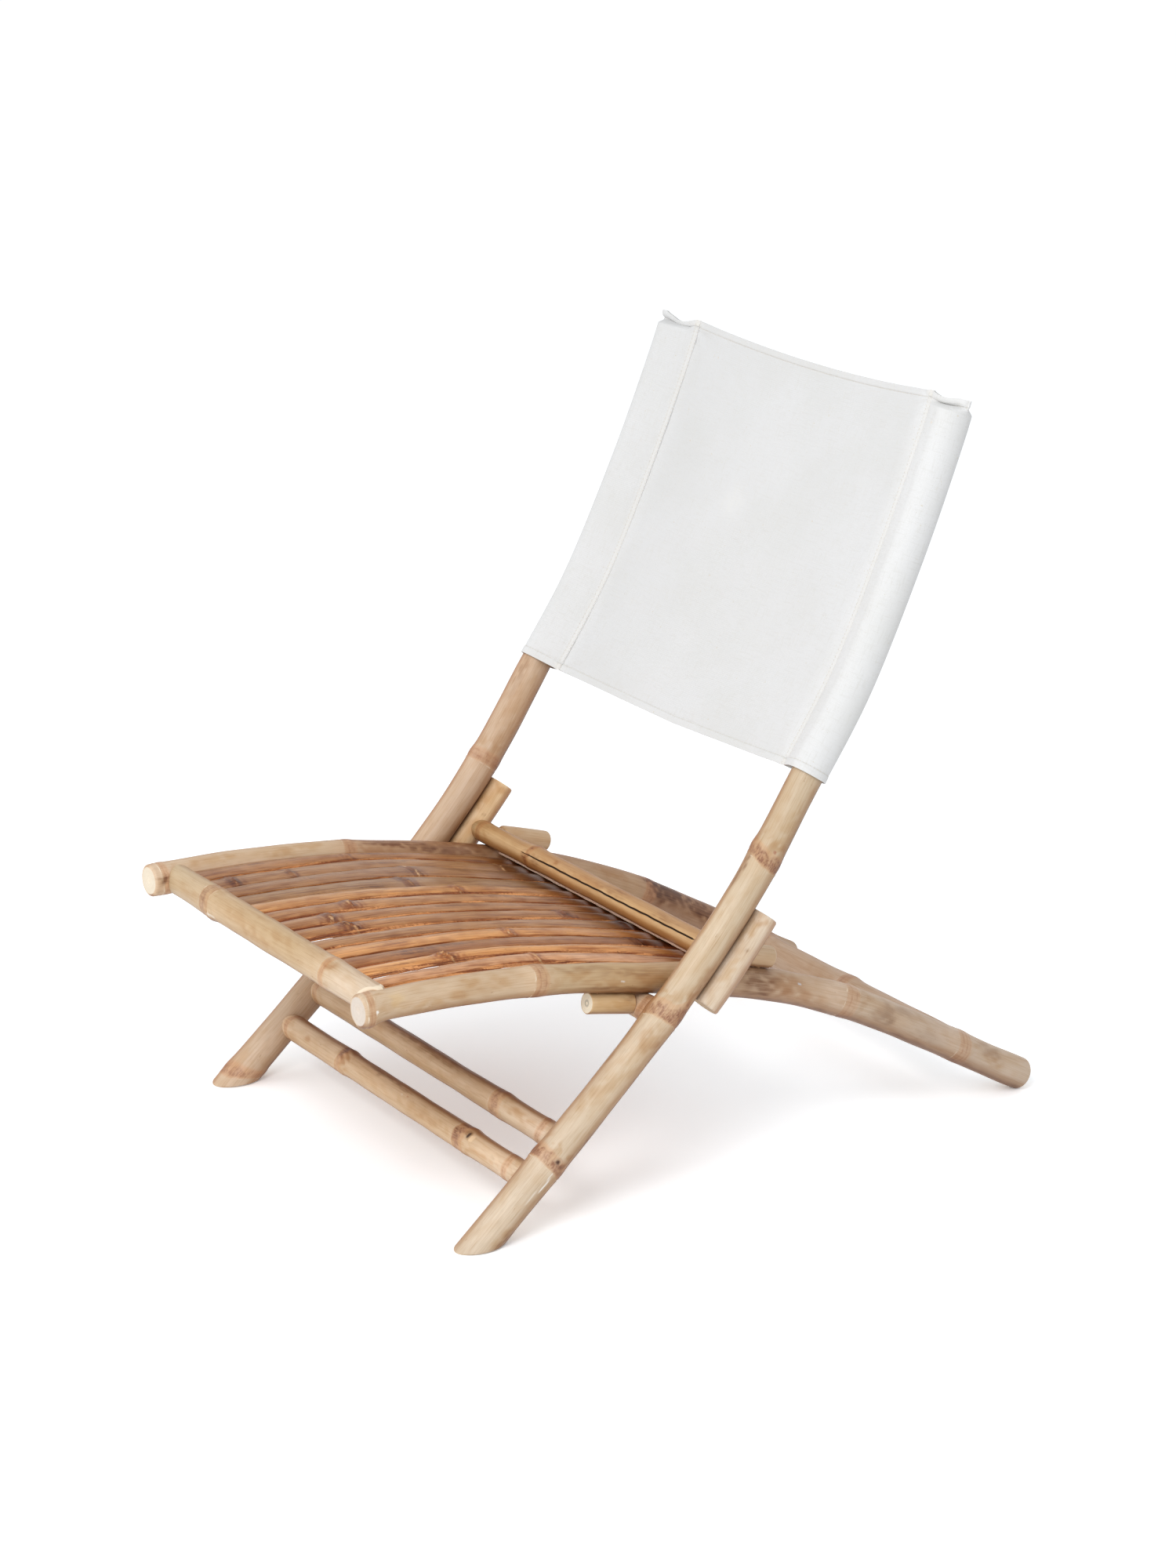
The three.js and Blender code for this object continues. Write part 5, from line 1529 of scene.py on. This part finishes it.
def add_sling():
    """The canvas: a sleeve around each pole and the panel between them, with hems and seams."""
    d = sling_levels()
    rows = [sling_line(v) for v in d]
    side_count, closing = rows[0][1], np.array([row[2] for row in rows])[:, None]
    x, h = (np.stack([row[0][:, k] for row in rows]) for k in range(2))
    dd = np.repeat(d[:, None], x.shape[1], 1)
    loop = np.zeros_like(x)
    loop[:, :side_count] = loop[:, -side_count:] = 1
    run = np.cumsum(np.hypot(np.diff(x, prepend=x[:, :1]), np.diff(h, prepend=h[:, :1])), 1)
    run = run - run[:, x.shape[1] // 2, None]
    up_share = (dd - SLING_LOW) / (SLING_TOP - SLING_LOW)
    seam_x = np.abs(POLE[1].at(dd)[0][..., 0]) - SEAM
    h, drop = shape_flap(x, h, dd, closing)
    h = h + (1 - loop) * sling_folds(x, dd, up_share)
    fullness = np.clip(1 - (x / seam_x) ** 2, 0, 1) * (1 - loop)
    drop = drop + fullness * (DROOP_LOW + (DROOP_TOP - DROOP_LOW) * up_share)
    raised = np.interp(x, (-240, -170, 0, 170, 240), (3.0, 2.0, 0.0, 6.0, 9.0))
    raised = raised * ease(1 - (dd - SLING_LOW) / 200)
    point = on_back(x, dd - drop + raised, h)
    normal = np.cross(np.gradient(point, axis=1), np.gradient(point, axis=0))
    normal /= np.maximum(np.linalg.norm(normal, axis=-1, keepdims=True), 1e-9)
    sign = 1 - 2 * loop
    hem = np.maximum(ease((SLING_LOW + 9 - dd) / 1.2), ease((dd - SLING_TOP + 8.2) / 1.2))
    groove = hump(dd - SLING_LOW - HEM_LOW, 0.9) + hump(dd - SLING_TOP + HEM_TOP, 0.9)
    uneven = loop * 0.30 * waves(305, run * 0.4 + 0.2 * dd, (70, 43), 1.0) * (1 - closing)
    point = point + normal * (sign * (0.55 * hem - 0.40 * groove + uneven))[..., None]
    mark, shade = sling_colours(x, dd, up_share, seam_x, hem, groove)
    layers = {"cloth": np.stack([run, dd, np.zeros_like(run)], -1) * MM, "mark": mark, "shade": shade}
    layers = {label: np.tile(v.reshape(-1, v.shape[-1]), (2, 1)) for label, v in layers.items()}
    sides = np.vstack([(point + way * normal * CLOTH / 2).reshape(-1, 3) for way in (1, -1)])
    sling = build(
        "cloth_back_sling", sides, sheet_faces(*x.shape), (), layers, CANVAS, "back_frame", ["back_sling"],
        sharp=60,
    )
    stitches = add_stitches(d, point, normal * sign[..., None], side_count)


STITCH, SPACE, SIDES = (-1.3, -1.05, 0.0, 1.05, 1.3), 4.3, 6
STITCH_GIRTH = (0.12, 0.26, 0.32, 0.26, 0.12)


def stitch_row(path, face):
    """Where the stitches of one row lie, which way they run and which way they face."""
    steps = np.linalg.norm(np.diff(path, axis=0), axis=1)
    run = np.concatenate([[0], np.cumsum(steps)])
    at = np.arange(2.4, run[-1] - 2, SPACE)
    along = lambda at, line: np.stack([np.interp(at, run, line[:, k]) for k in range(3)], -1)
    unit = lambda v: v / np.linalg.norm(v, axis=1, keepdims=True)
    spot = along(at, path)
    return spot, unit(along(at + 1, path) - spot), unit(along(at, face))


def add_stitches(d, point, outward, side_count):
    """Two rows of thread down each seam strip and one along each hem, each stitch a small rounded bead."""
    surface = point + outward * (CLOTH / 2 + 0.02)
    rows = [stitch_row(surface[:, column], outward[:, column]) for column in (-2, -6, 1, 5)]
    for level in (SLING_LOW + HEM_LOW, SLING_TOP - HEM_TOP):
        i = int(np.argmin(np.abs(d - level)))
        for part in (slice(side_count, -side_count), slice(7, side_count - 2), slice(-side_count + 2, -7)):
            rows.append(stitch_row(surface[i, part], outward[i, part]))
    spot, ahead, out = (np.vstack([row[k] for row in rows])[:, None, None] for k in range(3))
    turn = np.linspace(0, 2 * np.pi, SIDES, endpoint=False)[:, None]
    girth, length = (np.array(v)[:, None, None] for v in (STITCH_GIRTH, STITCH))
    base = spot + ahead * length + (np.cross(ahead, out) * np.cos(turn) + out * 0.7 * np.sin(turn)) * girth
    index = np.arange(base.size // 3).reshape(-1, len(STITCH), SIDES)
    nxt = np.roll(index, -1, 2)
    quads = np.stack([index[:, :-1], nxt[:, :-1], nxt[:, 1:], index[:, 1:]], -1).reshape(-1, 4)
    caps = []
    for level, way in ((0, -1), (-1, 1)):
        ring = index[:, level]
        for k in range(1, SIDES - 1):
            caps.append(np.stack([ring[:, 0], ring[:, k], ring[:, k + 1]], -1)[:, ::way])
    return build(
        "thread_sling_stitches", base.reshape(-1, 3), quads, np.vstack(caps), {}, THREAD, "back_frame", (),
        sharp=0,
    )


add_right_pole()
add_left_pole()
add_blocks()
add_lower_stretcher()
add_upper_stretcher()
add_support_bar()
add_lock_bar()
add_right_rail()
add_left_rail()
add_front_bar()
add_rear_bar()
add_stops()
add_slats()
add_cover()
add_battens()
add_sling()


# Camera, light and floor
CAMERA_PLACE, CAMERA_BACK = (3.3200, -2.2162, 1.6848), (0.79179, -0.52454, 0.31294)
CAMERA_UP = (-0.26647, 0.16437, 0.94972)
FOCAL_PIXELS, PHOTO_HEIGHT, SENSOR = 4919, 2000, 36


def add_camera():
    back, up = Vector(CAMERA_BACK).normalized(), Vector(CAMERA_UP).normalized()
    side = up.cross(back).normalized()
    data = bpy.data.cameras.new("photo_camera")
    data.sensor_width = SENSOR
    data.lens = FOCAL_PIXELS * SENSOR / PHOTO_HEIGHT
    data.clip_start, data.clip_end = 0.1, 100
    camera = bpy.data.objects.new("photo_camera", data)
    camera.location = CAMERA_PLACE
    camera.rotation_mode = "QUATERNION"
    camera.rotation_quaternion = Matrix((side, back.cross(side), back)).transposed().to_quaternion()
    bpy.context.scene.collection.objects.link(camera)
    bpy.context.scene.camera = camera


def area_light(name, place, target, size, power):
    """A rectangular lamp that looks at a point."""
    data = bpy.data.lights.new(name, "AREA")
    data.shape, data.size, data.size_y, data.energy = "RECTANGLE", size[0], size[1], power
    lamp = bpy.data.objects.new(name, data)
    lamp.location = place
    lamp.rotation_mode = "QUATERNION"
    lamp.rotation_quaternion = (Vector(target) - Vector(place)).to_track_quat("-Z", "Y")
    bpy.context.scene.collection.objects.link(lamp)


FLOOR_BOUNCE, FLOOR_SEEN, FLOOR_GLOW = 0.93, (1.40, 1.43, 1.46), 0.15
FLOOR_HALF, FLOOR_Z = 30.0, -0.001
SKY, SKY_STRENGTH = (0.97, 0.985, 1.0, 1), 0.74
WHITE = (1, 1, 1, 1)


def seen_itself(tree):
    """1 where a ray from the camera, a reflection or a glass meets the surface, otherwise 0."""
    path = tree.nodes.new("ShaderNodeLightPath")
    share = path.outputs["Is Camera Ray"]
    for name in ("Is Glossy Ray", "Is Transmission Ray"):
        larger = tree.nodes.new("ShaderNodeMath")
        larger.operation = "MAXIMUM"
        tree.links.new(share, larger.inputs[0])
        tree.links.new(path.outputs[name], larger.inputs[1])
        share = larger.outputs[0]
    return share


def add_world():
    """A pale blue sky for the light, and plain white where it is seen."""
    world = bpy.data.worlds.new("studio")
    bpy.context.scene.world = world
    world.use_nodes = True
    tree = world.node_tree
    light, seen = tree.nodes["Background"], tree.nodes.new("ShaderNodeBackground")
    mix = tree.nodes.new("ShaderNodeMixShader")
    for node, colour, strength in ((light, SKY, SKY_STRENGTH), (seen, WHITE, 1.0)):
        node.inputs[0].default_value = colour
        node.inputs[1].default_value = strength
    for source, socket in zip((seen_itself(tree), light.outputs[0], seen.outputs[0]), mix.inputs):
        tree.links.new(source, socket)
    tree.links.new(mix.outputs[0], tree.nodes["World Output"].inputs[0])


def floor_material():
    """A white floor that throws little colour back and takes soft shadows."""
    n = Nodes("floor")
    n.tree.nodes.remove(n.shader)
    diffuse, glow, share = n.new("BsdfDiffuse"), n.new("Emission"), n.new("MixShader")
    seen = seen_itself(n.tree)
    n.put(diffuse.inputs[0], n.mix(seen, (FLOOR_BOUNCE,) * 3, FLOOR_SEEN))
    glow.inputs[0].default_value = WHITE
    glow.inputs[1].default_value = 1.0
    parts = n.product(seen, FLOOR_GLOW), diffuse.outputs[0], glow.outputs[0]
    for source, socket in zip(parts, share.inputs):
        n.tree.links.new(source, socket)
    n.tree.links.new(share.outputs[0], n.tree.nodes["Material Output"].inputs[0])
    return n.material


def add_floor():
    mesh = bpy.data.meshes.new("floor")
    corners = [(FLOOR_HALF * a, FLOOR_HALF * b, FLOOR_Z) for a, b in ((-1, -1), (1, -1), (1, 1), (-1, 1))]
    mesh.from_pydata(corners, [], [(0, 1, 2, 3)])
    mesh.materials.append(floor_material())
    floor = bpy.data.objects.new("floor", mesh)
    bpy.context.scene.collection.objects.link(floor)


def add_studio():
    add_world()
    area_light("key", (2.0, -2.7, 3.4), (0, 0, 0.3), (1.7, 1.7), 72)
    area_light("fill", (-1.8, -3.9, 1.5), (0, 0, 0.15), (3.8, 2.2), 34)
    add_floor()


add_camera()
add_studio()

bpy.context.scene.view_settings.view_transform = "Standard"
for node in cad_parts.values():
    if not node.hide_render:
        node.data.materials.clear()
        node.data.materials.append(PEG)
